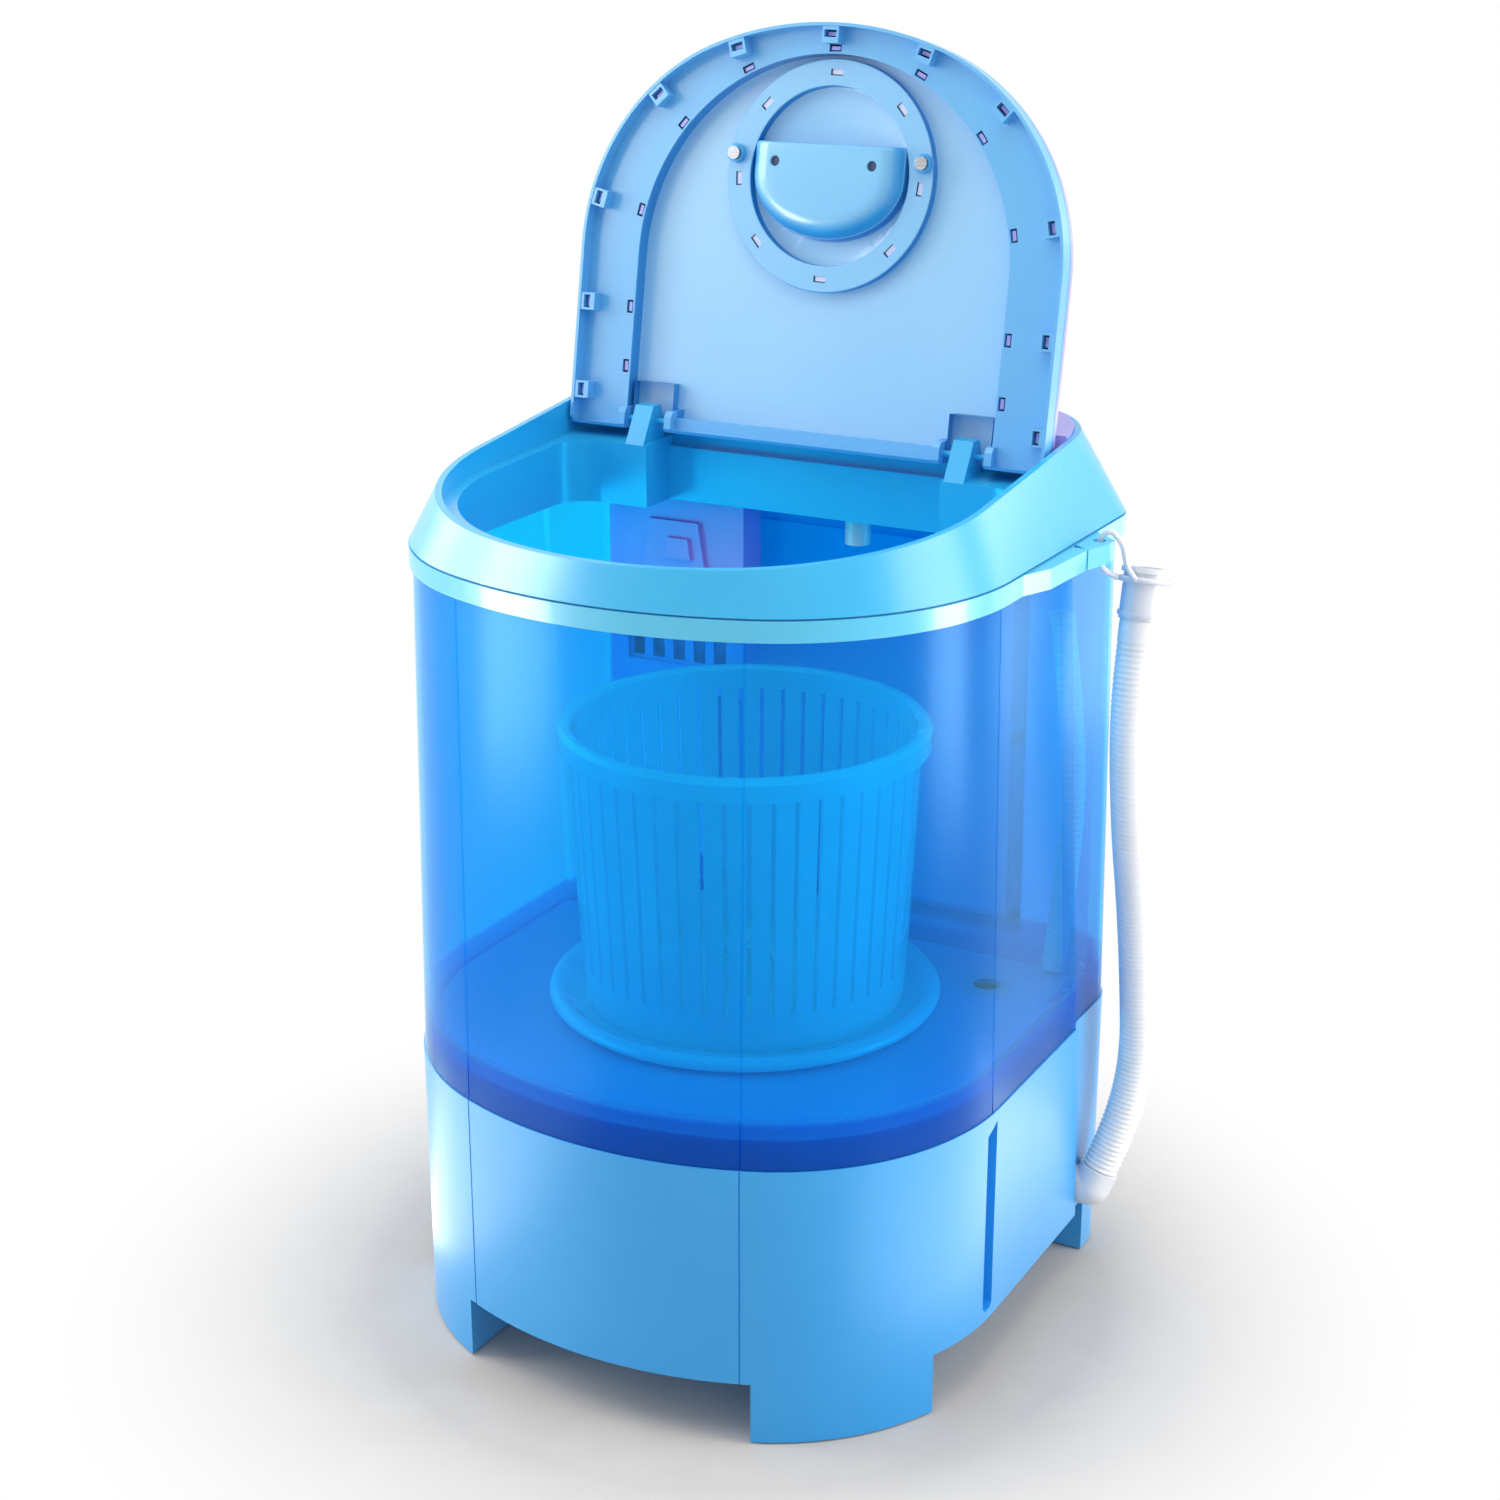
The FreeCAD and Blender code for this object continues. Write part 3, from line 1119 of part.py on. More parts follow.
band_top = "$band_drop + $panel_wall"
panel_more = [
    cut(lid_block("0", "0", "$panel_height"), lid_block("$panel_wall", "-1",
                                                        "$panel_height + 1")),
    lid_block("$panel_wall / 2", "$band_drop", band_top),
    arch_block("$arch_half + $panel_wall", "$arch_back", "$band_drop", SHEET_TOP),
]
panel_less = [
    arch_block("$arch_half", "$arch_back + $panel_wall", "-1", "$arch_drop"),
    cylinder("$ring_inner + $cover_wall + $fit_gap / 2", "10", "0", "-$grip_centre",
             "$arch_drop - 2"),
    prism_x([("-$hinge_bevel", "-1"), ("-$hinge_bevel", "0"), ("0", "$hinge_bevel"),
             ("1", "$hinge_bevel"), ("1", "-1")], "-$body_width", "$body_width"),
]
cover_more = [cut(lid_block("$cover_inset", "$panel_height", "$lid_height", "$cover_round"),
                  lid_block("$cover_inset + $cover_wall", "$panel_height - 1",
                            "$lid_height - $cover_wall", "$cover_round - $cover_wall"))]
cover_less = [cup("$cover_wall", "$arch_drop", "$lid_height + 1", "-$cup_draft")]
panel_slots = []
for x, y, angle in along_edge("$loop_slots"):
    panel_more.append(brick("$loop_length", "2 * $loop_slots - $panel_wall", "0.4",
                            "$band_drop + 1", x, y, angle))
    panel_slots.append(brick("$slot_length", "$slot_width", "-1", band_top + " + 1", x, y,
                             angle))
    cover_more.append(brick("$tab_length", "$tab_width", "$band_drop - 5",
                            "$lid_height - $cover_wall - 0.3", x, y, angle))
for x, y, angle in along_arch("$band_slots"):
    panel_slots.append(brick("$slot_length", "$slot_width", "$band_drop - 1",
                             band_top + " + 0.4", x, y, angle))
    cover_more.append(brick("$tab_length", "$tab_width", band_top + " - 1",
                            "$lid_height - $cover_wall / 2", x, y, angle))

# the hinge: lugs each side of each notch, a pin through both
hinge_pins = []
for side, sign in SIDES:
    x0, x1 = two_sided("$notch_in", "$notch_out")[0 if side == "left" else 1][1:]
    panel_less.append(box(x0, x1, "-$notch_deep", "1", "-1", "$lid_height + 1"))
    cover_less.append(box(x0, x1, "-$notch_deep", "1", "-1", "$lid_height - $cover_wall"))
    rear = [("-14", SHEET_TOP), ("-12", "$pin_under - $pin_radius - 3"),
            ("-9", "$pin_under - $pin_radius - 5"), ("-2", "$pin_under - $pin_radius - 5"),
            ("0", "$pin_under - $pin_radius - 3"), ("0", "$panel_height - 0.2"),
            ("-$cover_inset - $cover_wall - 0.3", "$panel_height"),
            ("-$cover_inset - $cover_wall - 0.3", "$lid_height - $cover_round"),
            ("-$cover_inset - $cover_round", SHEET_TOP)]
    for near, far in (("$notch_in - $lug_width", "$notch_in"),
                      ("$notch_out", "$notch_out + $lug_width")):
        a, b = two_sided(near, far)[0 if side == "left" else 1][1:]
        panel_more.append(prism_x(rear, a, b))
    a, b = two_sided("$notch_in - $lug_width + 0.5", "$notch_out + $lug_width - 0.5")[
        0 if side == "left" else 1][1:]
    hinge_pins.append((side, a, "(%s) - (%s)" % (b, a)))
for side, start, length in hinge_pins:
    panel_less.append(cylinder("$pin_radius + $pin_gap", length + " + 1", start + " - 0.5",
                               "-$pin_back", "$pin_under", Y_AXIS, "90"))
panel = cut(cut(fuse(panel_more[0], panel_more[1], panel_more[2]), panel_less[0]),
            panel_less[1])
panel = cut(fuse(panel, *panel_more[3:]), *(panel_less[2:] + panel_slots))
node(on_lid(panel), "lid_panel")
node(on_lid(cut(fuse(*cover_more), *cover_less)), "lid_cover")
for side, start, length in hinge_pins:
    node(on_lid(group(cylinder("$pin_radius", length, start, "-$pin_back", "$pin_under",
                               Y_AXIS, "90"))), "hinge_pin_" + side)

# the hand grip let into the lid's middle
ring = cut(cylinder("$ring_outer", "$arch_drop - $ring_face", "0", "-$grip_centre",
                    "$ring_face"),
           cylinder("$ring_outer - $cover_wall", "20", "0", "-$grip_centre",
                    "$ring_face + $cover_wall"),
           cylinder("$ring_inner", "$cover_wall + 2", "0", "-$grip_centre",
                    "$ring_face - 1"))
core = cut(cylinder("$ring_inner + $cover_wall", SHEET_TOP + " - $ring_face", "0",
                    "-$grip_centre", "$ring_face"),
           cylinder("$ring_inner", "$arch_drop - $ring_face + 1", "0", "-$grip_centre",
                    "$ring_face - 1"))
cup_outer = cup("0", "$cup_face", "$arch_drop", "-$cup_draft")
cup_room = cup("$cup_wall - (2 + $lid_height - $arch_drop) * tan($cup_draft * 1deg)",
               "$cup_face + $cup_wall", "$lid_height + 2", "-$cup_draft")
grip_more = [ring, core, cup_outer]
grip_less = [cup_room]
grip_screws = []
for side, sign in SIDES:
    x, y = sign + "$boss_side", "-$grip_centre - $boss_up"
    grip_more.append(cylinder("$boss_radius", "$arch_drop - $boss_face", x, y, "$boss_face"))
    grip_less.append(cylinder("$screw_radius + $screw_fit", "$screw_length + 1", x, y,
                              "$boss_face - 1"))
    grip_screws.append(screw(x, y, "$boss_face", X_AXIS, "180"))
    grip_less.append(cylinder("$hole_radius", "$cup_wall + 2", sign + "$hole_side",
                              "-$hole_back", "$cup_face - 1"))
for angle in ("0", "47.7", "90", "132.3", "180", "227.7", "270", "312.3"):
    x = "($ring_outer + $ring_inner) / 2 * sin(%sdeg)" % angle
    y = "-$grip_centre - ($ring_outer + $ring_inner) / 2 * cos(%sdeg)" % angle
    if angle not in ("90", "270"):
        grip_less.append(brick("$slot_length", "$slot_width", "$ring_face - 1",
                               "$ring_face + $cover_wall + 1", x, y, angle))
node(on_lid(cut(fuse(*grip_more), *grip_less)), "lid_grip")
node(on_lid(group(*grip_screws)), "lid_grip_screws")

# --------------------------------------------------------- control panel

splash = box("-$plate_half", "$plate_half", "$plate_front", "$plate_rear",
             "$rim_top - $cover_thick", "$rim_top")
pipe_hole = cylinder("$inlet_radius + $fit_gap", "200", "$pipe_x", "$pipe_y", "$rim_bottom - 50")
node(cut(splash, pipe_hole), "splash_plate")


def tilted(obj, x, along, out):
    """Set an object on the sloped top."""
    return place(obj, x, slope_y(along, out), slope_z(along, out), X_AXIS, "$top_tilt")


def dash_block(inset, low, high, lean):
    """A block with the control panel's plan, its front leaning back."""
    front = "$recess_rear + $fit_gap + (%s)" % inset
    plan = upright_outline("$lid_half + $lid_room - $fit_gap - (%s)" % inset,
                           "$lid_edge - $lid_length", dash_rear + " - $fit_gap - (%s)" % inset,
                           "$lid_front_radius + $lid_room", "$lid_corner_radius + $lid_room",
                           "$rim_top", "$top_front + 90",
                           "(%s) - $fit_gap - (%s)" % (dash_radius, inset))
    side = prism_x([(front, top_z(front, low)), ("$body_depth", top_z("$body_depth", low)),
                    ("$body_depth", top_z("$body_depth", high)),
                    (front + " + " + lean, top_z(front + " + " + lean, high))],
                   "-$body_width", "$body_width")
    return common(plan, side)


dash_less = [dash_block("$dash_wall", "-$deck_sunk - 1", "$dash_top - $dash_wall", "2"),
             pipe_hole]
knob_shafts = []
for name, x, half, deep in (("timer", "-$knob_x", "$timer_half", "$timer_deep"),
                            ("selector", "$knob_x", "$switch_half", "$switch_deep")):
    dash_less.append(tilted(cylinder("$shaft_radius + $shaft_gap", "60"), x, "$knob_y", "-30"))
    unit = upright([("-(%s)" % half, "-$unit_half"), (half, "-$unit_half"),
                    (half, "$unit_half"), ("-(%s)" % half, "$unit_half")], "-(%s)" % deep, "0")
    unit = cut(unit, cylinder("$shaft_radius + $shaft_gap", "$shaft_depth + 2",
                              z="-$shaft_depth - 0.5"))
    under_panel = "($dash_top - $dash_wall) * cos($top_tilt * 1deg)"
    node(tilted(unit, x, "$knob_y", under_panel), name + "_unit")
    bore = "$shaft_radius + 0.01"
    knob = revolve(make_body("Knob"),
                   [(bore, "0"), ("$knob_radius", "0"), ("$knob_radius", "$knob_skirt"),
                    ("$knob_grip + 1", "$knob_skirt"), ("$knob_grip", "$knob_height - 1"),
                    ("$knob_grip - 1", "$knob_height"), ("0", "$knob_height"),
                    ("0", "$knob_height - 3"), (bore, "$knob_height - 3")]).getParentGeoFeatureGroup()
    over = "$dash_top * cos($top_tilt * 1deg) + $fit_gap"
    node(tilted(knob, x, "$knob_y", over), name + "_knob")
    shaft = cylinder("$shaft_radius", "$shaft_depth + $dash_wall + $knob_height - 3.2")
    node(tilted(group(shaft), x, "$knob_y", under_panel + " - $shaft_depth"),
         name + "_shaft")
dash = dash_block("0", "-$deck_sunk", "$dash_top", "2.2")
node(cut(dash, *dash_less), "control_panel")
pipe_flange = top_z("$pipe_y - 10", "$dash_top - $dash_wall - 2.4")
node(cut(fuse(cylinder("$inlet_stem", "$inlet_top - $inlet_foot", "$pipe_x", "$pipe_y",
                       "$inlet_foot"),
              cylinder("$inlet_radius", "$spigot_length", "$pipe_x", "$pipe_y",
                       "$inlet_top - $spigot_length"),
              cylinder("$inlet_radius + 1.5", "2", "$pipe_x", "$pipe_y", pipe_flange)),
         cylinder("$inlet_bore", "200", "$pipe_x", "$pipe_y", "$inlet_foot - 20")),
     "inlet_pipe")

# --------------------------------------------------------- spinning drum

BORE = "$shaft_size + $run_gap"
low_in = "$basket_foot_radius - $basket_wall"
neck = "$basket_top - $basket_rim_height"
basket = make_body("Basket")
revolve(basket, [
    (BORE, "$basket_bottom"), ("$basket_foot_radius", "$basket_bottom"),
    ("$basket_neck_radius", neck), ("$basket_rim_radius", neck),
    ("$basket_rim_radius", "$basket_top - 3"), ("$basket_rim_radius - 3", "$basket_top"),
    ("$basket_mouth_radius + 2", "$basket_top"), ("$basket_mouth_radius", "$basket_top - 2"),
    ("$basket_mouth_radius", neck), (low_in, "$basket_bottom + $basket_wall"),
    ("$hub_radius + 6", "$basket_bottom + $basket_wall"), ("$hub_radius", "$hub_top - 6"),
    ("$hub_radius - 2", "$hub_top"), (BORE, "$hub_top")])
slot_sketch = make_sketch(basket, "YZ_Plane", "$basket_foot_radius - 14")
rectangle(slot_sketch, "-$basket_slot / 2", "$basket_slot / 2", "$slot_bottom", "$slot_top")
slot = pocket(basket, slot_sketch, "30")
pattern = basket.newObject("PartDesign::PolarPattern", "Basket_slots")
pattern.Originals = [slot]
pattern.Axis = ([f for f in basket.Origin.OriginFeatures if f.Role == "Z_Axis"][0], [""])
pattern.Angle = 360
pattern.setExpression("Occurrences", names("$slots"))
basket.Tip = pattern
node(place(basket, "0", "$drum_y"), "basket")

pulsator_foot = "$floor_top + $pulsator_lift"
pulsator_top = pulsator_foot + " + $pulsator_thick"
vanes = []
for i in range(6):
    turn = "%ddeg" % (i * 60 + 30)
    reach = "($basket_foot_radius + $pulsator_radius + 2) / 2"
    vanes.append(brick("$pulsator_radius - $basket_foot_radius - 6", "4", pulsator_top + " - 1",
                       pulsator_top + " + $vane_height", reach + " * cos(%s)" % turn,
                       "$drum_y + " + reach + " * sin(%s)" % turn, str(i * 60 + 30)))
disc = cylinder("$pulsator_radius", "$pulsator_thick", "0", "$drum_y", pulsator_foot)
node(cut(fuse(disc, *vanes), cylinder(BORE, "40", "0", "$drum_y", pulsator_foot + " - 10")),
     "pulsator")
nut = cut(fuse(cylinder("$nut_radius", "$nut_height - 3", "0", "$drum_y", "$hub_top"),
               cylinder("$nut_radius - 4", "$nut_height", "0", "$drum_y", "$hub_top")),
          cylinder(BORE, "$shaft_head - $hub_top + 1.1", "0", "$drum_y", "$hub_top - 1"))
node(nut, "basket_lock_nut")
node(group(cylinder("$shaft_size", "$shaft_head - $shaft_foot", "0", "$drum_y",
                    "$shaft_foot")), "drive_shaft")
node(cut(cylinder("$seal_radius - 0.1", "$floor_thick + 0.5", "0", "$drum_y", FLOOR_UNDER),
         cylinder(BORE, "20", "0", "$drum_y", FLOOR_UNDER + " - 5")), "shaft_seal")

housing_foot = "(%s - $flange_thick - $housing_length)" % FLOOR_UNDER
housing = cut(fuse(cylinder("$flange_radius", "$flange_thick", "0", "$drum_y",
                            FLOOR_UNDER + " - $flange_thick"),
                   cylinder("$housing_radius", "$housing_length + 1", "0", "$drum_y",
                            housing_foot)),
              cylinder("$bearing_radius + $run_gap", "$housing_length + 20", "0", "$drum_y",
                       housing_foot + " - 5"), *bearing_holes)
node(housing, "bearing_housing")
for name, z in (("lower", housing_foot + " + 3"),
                ("upper", FLOOR_UNDER + " - $flange_thick - $bearing_width")):
    node(cut(cylinder("$bearing_radius", "$bearing_width", "0", "$drum_y", z),
             cylinder(BORE, "$bearing_width + 2", "0", "$drum_y", z + " - 1")),
         name + "_bearing")

# ------------------------------------------------- belt drive and motor


def pulley(radius, bore, hub):
    """A grooved wheel with a lip at each side of its belt."""
    inner = "(%s)" % radius
    outer = "(%s + $pulley_lip)" % radius
    side = "(($pulley_width - $belt_width) / 2 - 0.5)"
    body = make_body("Pulley")
    revolve(body, [(bore, "$pulley_foot"), (outer, "$pulley_foot"),
                   (outer, "$pulley_foot + " + side), (inner, "$pulley_foot + " + side),
                   (inner, "$pulley_foot + $pulley_width - " + side),
                   (outer, "$pulley_foot + $pulley_width - " + side),
                   (outer, "$pulley_foot + $pulley_width"),
                   (bore, "$pulley_foot + $pulley_width")])
    if hub:
        web = cylinder(inner + " - 6", "$pulley_width", z="$pulley_foot + 4")
        core = cylinder("$shaft_size + 7", "$pulley_width + 2", z="$pulley_foot + 3")
        return cut(body, cut(web, core))
    return cut(body, cylinder("1", "1", z="$pulley_foot - 5"))


node(place(pulley("$pulley_radius", BORE, True), "0", "$drum_y"), "drive_pulley")
motor_bore = "$rotor_shaft + $run_gap"
node(place(pulley("$pinion_radius", motor_bore, False), "$motor_x", "$motor_y"), "motor_pulley")


def belt_loop(outset, z0, z1):
    """The loop round both pulleys, an outset outside their grooves."""
    body = make_body("Belt")
    sketch = make_sketch(body, "XY_Plane", z0)
    big_r, small_r = "$pulley_radius + " + outset, "$pinion_radius + " + outset
    c1 = Vector(0, number("$drum_y"), 0)
    c2 = Vector(number("$motor_x"), number("$motor_y"), 0)
    r1, r2 = number(big_r), number(small_r)
    span = c2 - c1
    heading = math.degrees(math.atan2(span.y, span.x))
    wrap = math.degrees(math.acos((r1 - r2) / span.Length))

    def on(centre, radius, degrees):
        return centre + Vector(radius * math.cos(math.radians(degrees)),
                               radius * math.sin(math.radians(degrees)), 0)

    a, b = heading + wrap, heading - wrap
    big = sketch.addGeometry(arc(c1, r1, a, b + 360), False)
    first = sketch.addGeometry(Part.LineSegment(on(c1, r1, b), on(c2, r2, b)), False)
    small = sketch.addGeometry(arc(c2, r2, b, a), False)
    last = sketch.addGeometry(Part.LineSegment(on(c2, r2, a), on(c1, r1, a)), False)
    for one, other in ((big, first), (first, small), (small, last), (last, big)):
        sketch.addConstraint(Sketcher.Constraint("Tangent", one, 2, other, 1))
    fix(sketch, "Radius", big, None, big_r)
    fix(sketch, "Radius", small, None, small_r)
    sketch.addConstraint(Sketcher.Constraint("PointOnObject", big, 3, -2))
    fix(sketch, "DistanceY", big, 3, "$drum_y")
    fix(sketch, "DistanceX", small, 3, "$motor_x")
    fix(sketch, "DistanceY", small, 3, "$motor_y")
    pad(body, sketch, "(%s) - (%s)" % (z1, z0))
    return body


belt_foot = "($pulley_foot + ($pulley_width - $belt_width) / 2)"
node(cut(belt_loop("$belt_gap + $belt_thick", belt_foot, belt_foot + " + $belt_width"),
         belt_loop("$belt_gap", belt_foot + " - 1", belt_foot + " + $belt_width + 1")),
     "drive_belt")

MOTOR = ("$motor_x", "$motor_y")
plate_top = "($mount_height + $mount_plate)"
mount = box("$motor_x - $mount_half", "$motor_x + $mount_half", "$motor_y - $mount_half",
            "$motor_y + $mount_half", "$mount_height", plate_top)
node(cut(mount, cylinder("$rotor_shaft + 6", "20", *MOTOR, "$mount_height - 10"),
         *motor_holes), "motor_plate")
casing = cut(cylinder("$motor_radius", "$motor_length", *MOTOR, plate_top),
             cylinder("$motor_radius - $motor_wall", "$motor_length - 8", *MOTOR,
                      plate_top + " + 4"),
             cylinder(motor_bore, "$motor_length - 1.5", *MOTOR, plate_top + " - 1"))
node(casing, "motor_housing")
rotor = fuse(cylinder("$rotor_shaft", plate_top + " + $motor_length - 3 - $shaft_foot", *MOTOR,
                      "$shaft_foot"),
             cylinder("$motor_radius - $motor_wall - $fit_gap", "$motor_length - 12", *MOTOR,
                      plate_top + " + 6"))
node(rotor, "motor_rotor")

CAPACITOR = ("$capacitor_x", "$capacitor_y")
FLOOR = "($floor_rise + $base_floor)"
node(group(cylinder("$capacitor_radius", "$capacitor_height", *CAPACITOR, FLOOR)), "capacitor")
clamp = fuse(cylinder("$capacitor_radius + 3", "12", *CAPACITOR, FLOOR + " + 20"),
             box("$capacitor_x + $capacitor_radius + 0.5", "$capacitor_x + $capacitor_radius + 3",
                 "$capacitor_y - 6", "$capacitor_y + 6", FLOOR, FLOOR + " + 30"))
node(cut(clamp, cylinder("$capacitor_radius + $fit_gap", "80", *CAPACITOR, FLOOR + " - 1")),
     "capacitor_clamp")

# ----------------------------------------------------------------- drain

spout_top = FLOOR_UNDER
spout = cut(fuse(cylinder("$drain_radius + 6", "3", "$drain_x", "$drain_y", spout_top + " - 3"),
                 cylinder("$drain_radius + 3", "23", "$drain_x", "$drain_y",
                          spout_top + " - 23")),
            cylinder("$drain_radius", "40", "$drain_x", "$drain_y", spout_top + " - 30"),
            cylinder("$pipe_radius + 0.1", "15.2", "$drain_x", "$drain_y", spout_top + " - 23.2"))
node(spout, "drain_spout")
pipe_head = spout_top + " - 8.2"


def drain_run(radius, extra):
    """The inner drain pipe's three runs: down, back and out to the side."""
    return fuse(cylinder(radius, "%s - $outlet_z + %s" % (pipe_head, extra), "$drain_x",
                         "$drain_y", "$outlet_z"),
                place(make_ball(radius), "$drain_x", "$drain_y", "$outlet_z"),
                cylinder(radius, "$outlet_y - $drain_y", "$drain_x", "$outlet_y", "$outlet_z",
                         X_AXIS, "90"),
                place(make_ball(radius), "$drain_x", "$outlet_y", "$outlet_z"),
                cylinder(radius, HALF + " - 14 - $drain_x + " + extra, "$drain_x", "$outlet_y",
                         "$outlet_z", Y_AXIS, "90"))


def make_ball(radius):
    ball = doc.addObject("Part::Sphere", "Ball")
    bind(ball, Radius=radius)
    return ball


node(cut(drain_run("$pipe_radius", "0"), drain_run("$pipe_radius - 2", "1")), "drain_pipe")


def outlet_run(radius, extra):
    start = HALF + " - 20 - " + extra
    level = cylinder(radius, "$outlet_out - (" + start + ")", start, "$outlet_y", "$outlet_z",
                     Y_AXIS, "90")
    up = cylinder(radius, "$spout_length + " + extra, "$outlet_out", "$outlet_y", "$outlet_z",
                  (-1, 1, 0), "$outlet_lean")
    return fuse(level, place(make_ball(radius), "$outlet_out", "$outlet_y", "$outlet_z"), up)


node(cut(outlet_run("$outlet_radius", "0"), outlet_run("$outlet_radius - $outlet_wall",
                                                       "1")), "drain_outlet")

# the hose: straight runs joined by tangent arcs
lean = math.radians(number("$outlet_lean"))
reach = number("$spout_length")
heading = Vector(math.sin(lean) / math.sqrt(2), math.sin(lean) / math.sqrt(2), math.cos(lean))
start = Vector(number("$outlet_out"), number("$outlet_y"), number("$outlet_z")) + heading * reach
first = start + heading * 30.3
HOSE = [tuple(start), tuple(first), (200.6, 134.2, 135.4), (199.6, 129, 187), (199, 118, 242),
        (199, 103, 290), (199, 92, 350), (199, 93.5, 388), (199, 100.5, 417)]
HOOK = [(187, 93, 441.5), (181, 82, 449), (181, 80, 466.5), (187, 81, 471), (193.2, 84, 463),
        (194.2, 89, 449), (199, 92, 441)]


def route(points, label):
    """A wire of straight runs with an arc at every bend, its radii printed."""
    spots = [Vector(*p) for p in points]
    edges = []
    radii = []
    here = spots[0]
    for i in range(1, len(spots) - 1):
        before = spots[i] - spots[i - 1]
        after = spots[i + 1] - spots[i]
        half_turn = before.getAngle(after) / 2
        trim = 0.45 * min(before.Length, after.Length)
        radii.append(trim / math.tan(half_turn))
        one = spots[i] - before.normalize() * trim
        other = spots[i] + after.normalize() * trim
        centre = spots[i] + (one + other - spots[i] * 2).normalize() * (
            radii[-1] / math.cos(half_turn))
        middle = centre + (spots[i] - centre).normalize() * radii[-1]
        edges.append(Part.LineSegment(here, one).toShape())
        edges.append(Part.Arc(one, middle, other).toShape())
        here = other
    edges.append(Part.LineSegment(here, spots[-1]).toShape())
    print(label, "bend radii", [round(r) for r in radii],
          "length", round(sum(e.Length for e in edges)))
    return Part.Wire(edges)


def swept(points, radius, label):
    """A round solid along a route."""
    wire = route(points, label)
    direction = Vector(*points[1]) - Vector(*points[0])
    ring = Part.Wire([Part.Circle(Vector(*points[0]), direction, radius).toShape()])
    solid = wire.makePipeShell([ring], True, False)
    section = math.pi * radius * radius * wire.Length
    if abs(solid.Volume - section) > 0.01 * section:
        raise RuntimeError("%s sweep is off: %g for %g" % (label, solid.Volume, section))
    return solid


hose = doc.addObject("Part::Feature", "Hose")
hose.Shape = swept(HOSE, number("$hose_radius"), "hose").cut(
    swept(HOSE, number("$hose_bore"), "hose bore"))
node(hose, "drain_hose")
end, back = Vector(*HOSE[-1]), Vector(*HOSE[-2])
up = (end - back).normalize()
cuff_lean = str(math.degrees(math.atan2(up.y, up.z)))
cuff = cut(fuse(cylinder("$cuff_radius", "$cuff_height"),
                cylinder("$cuff_radius + 1.5", "3", z="$cuff_height - 3"),
                cylinder("$cuff_radius + 1", "2.5", z="2")),
           cylinder("$hose_bore", "$cuff_height + 2", z="-1"))
node(place(cuff, *[str(v) for v in end], BACKWARD, cuff_lean), "hose_cuff")
wire = number("$hook_wire")
ring_at = end + up * (number("$cuff_height") - 7)
loop = Part.makeTorus(number("$cuff_radius") + 0.35 + wire, wire, ring_at, up)
hook = doc.addObject("Part::Feature", "Hook")
hook.Shape = swept(HOOK, wire, "hook").fuse(loop)
node(hook, "hose_hook")

# ---------------------------------------------------------------- filter

FX0, FX1 = "$filter_x - $filter_half", "$filter_x + $filter_half"
FY0, FY1 = "$chamber_rear - $filter_deep", "$chamber_rear - 0.05"
W = "$filter_wall"


def inside(amount, low="0", high="0"):
    return box("%s + (%s)" % (FX0, amount), "%s - (%s)" % (FX1, amount),
               "%s + (%s)" % (FY0, amount), "%s - (%s)" % (FY1, amount),
               "$filter_bottom + " + low, "$filter_top + " + high)


window = box(FX0 + " + 12", FX1 + " - 12", FY0 + " - 1", FY0 + " + 6", "$filter_bottom + 16",
             "$filter_bottom + 70")
raised = prism_y([("$filter_x - 22", "$filter_top - 45"), ("$filter_x + 22", "$filter_top - 45"),
                  ("$filter_x + 17", "$filter_top - 14"), ("$filter_x - 17", "$filter_top - 14")],
                 FY0 + " - $filter_face", FY0 + " + 1")
node(cut(fuse(inside("0"), raised), inside(W, W, "1"), window), "filter_housing")
screen = inside(W + " + $fit_gap", W + " + $fit_gap", "-2")
mesh = []
for i in range(5):
    x = FX0 + " + 14 + %d * 14.4" % i
    mesh.append(box(x, x + " + 8.4", FY0 + " - 1", FY1 + " - " + W + " - 2", "$filter_bottom + 18",
                    "$filter_bottom + 68"))
node(cut(screen, inside(W + " + 2.3", W + " + 2.3", "1"), *mesh), "filter_screen")
clip_front = FY0 + " - $filter_face - 2.5"
node(prism_y([("$filter_x - 5", "$filter_top - 37"), ("$filter_x + 13", "$filter_top - 37"),
              ("$filter_x + 11", "$filter_top - 24"), ("$filter_x - 3", "$filter_top - 24")],
             clip_front, FY0 + " - $filter_face"), "filter_clip")


# ---------------------------------------------------------------- output

doc.recompute()
problems = []
for obj in doc.Objects:
    if "Invalid" in obj.State or "Error" in obj.State:
        problems.append("%s: %s" % (obj.Label, ", ".join(obj.State)))
labels = [obj.Label for obj in NODES]
if len(set(labels)) != len(labels):
    problems.append("a name is used twice")
for obj in NODES:
    if obj.Shape.isNull() or not obj.Shape.isValid() or not obj.Shape.Solids:
        problems.append("%s: no valid shape" % obj.Label)
if problems:
    raise RuntimeError("\n".join(problems))

os.makedirs("parts", exist_ok=True)
for obj in NODES:
    obj.Shape.exportStep(os.path.join("parts", obj.Label + ".step"))
box_all = FreeCAD.BoundBox()
for obj in NODES:
    box_all.add(obj.Shape.BoundBox)
print("%d sub-parts, box %s" % (len(NODES), box_all))
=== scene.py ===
import math

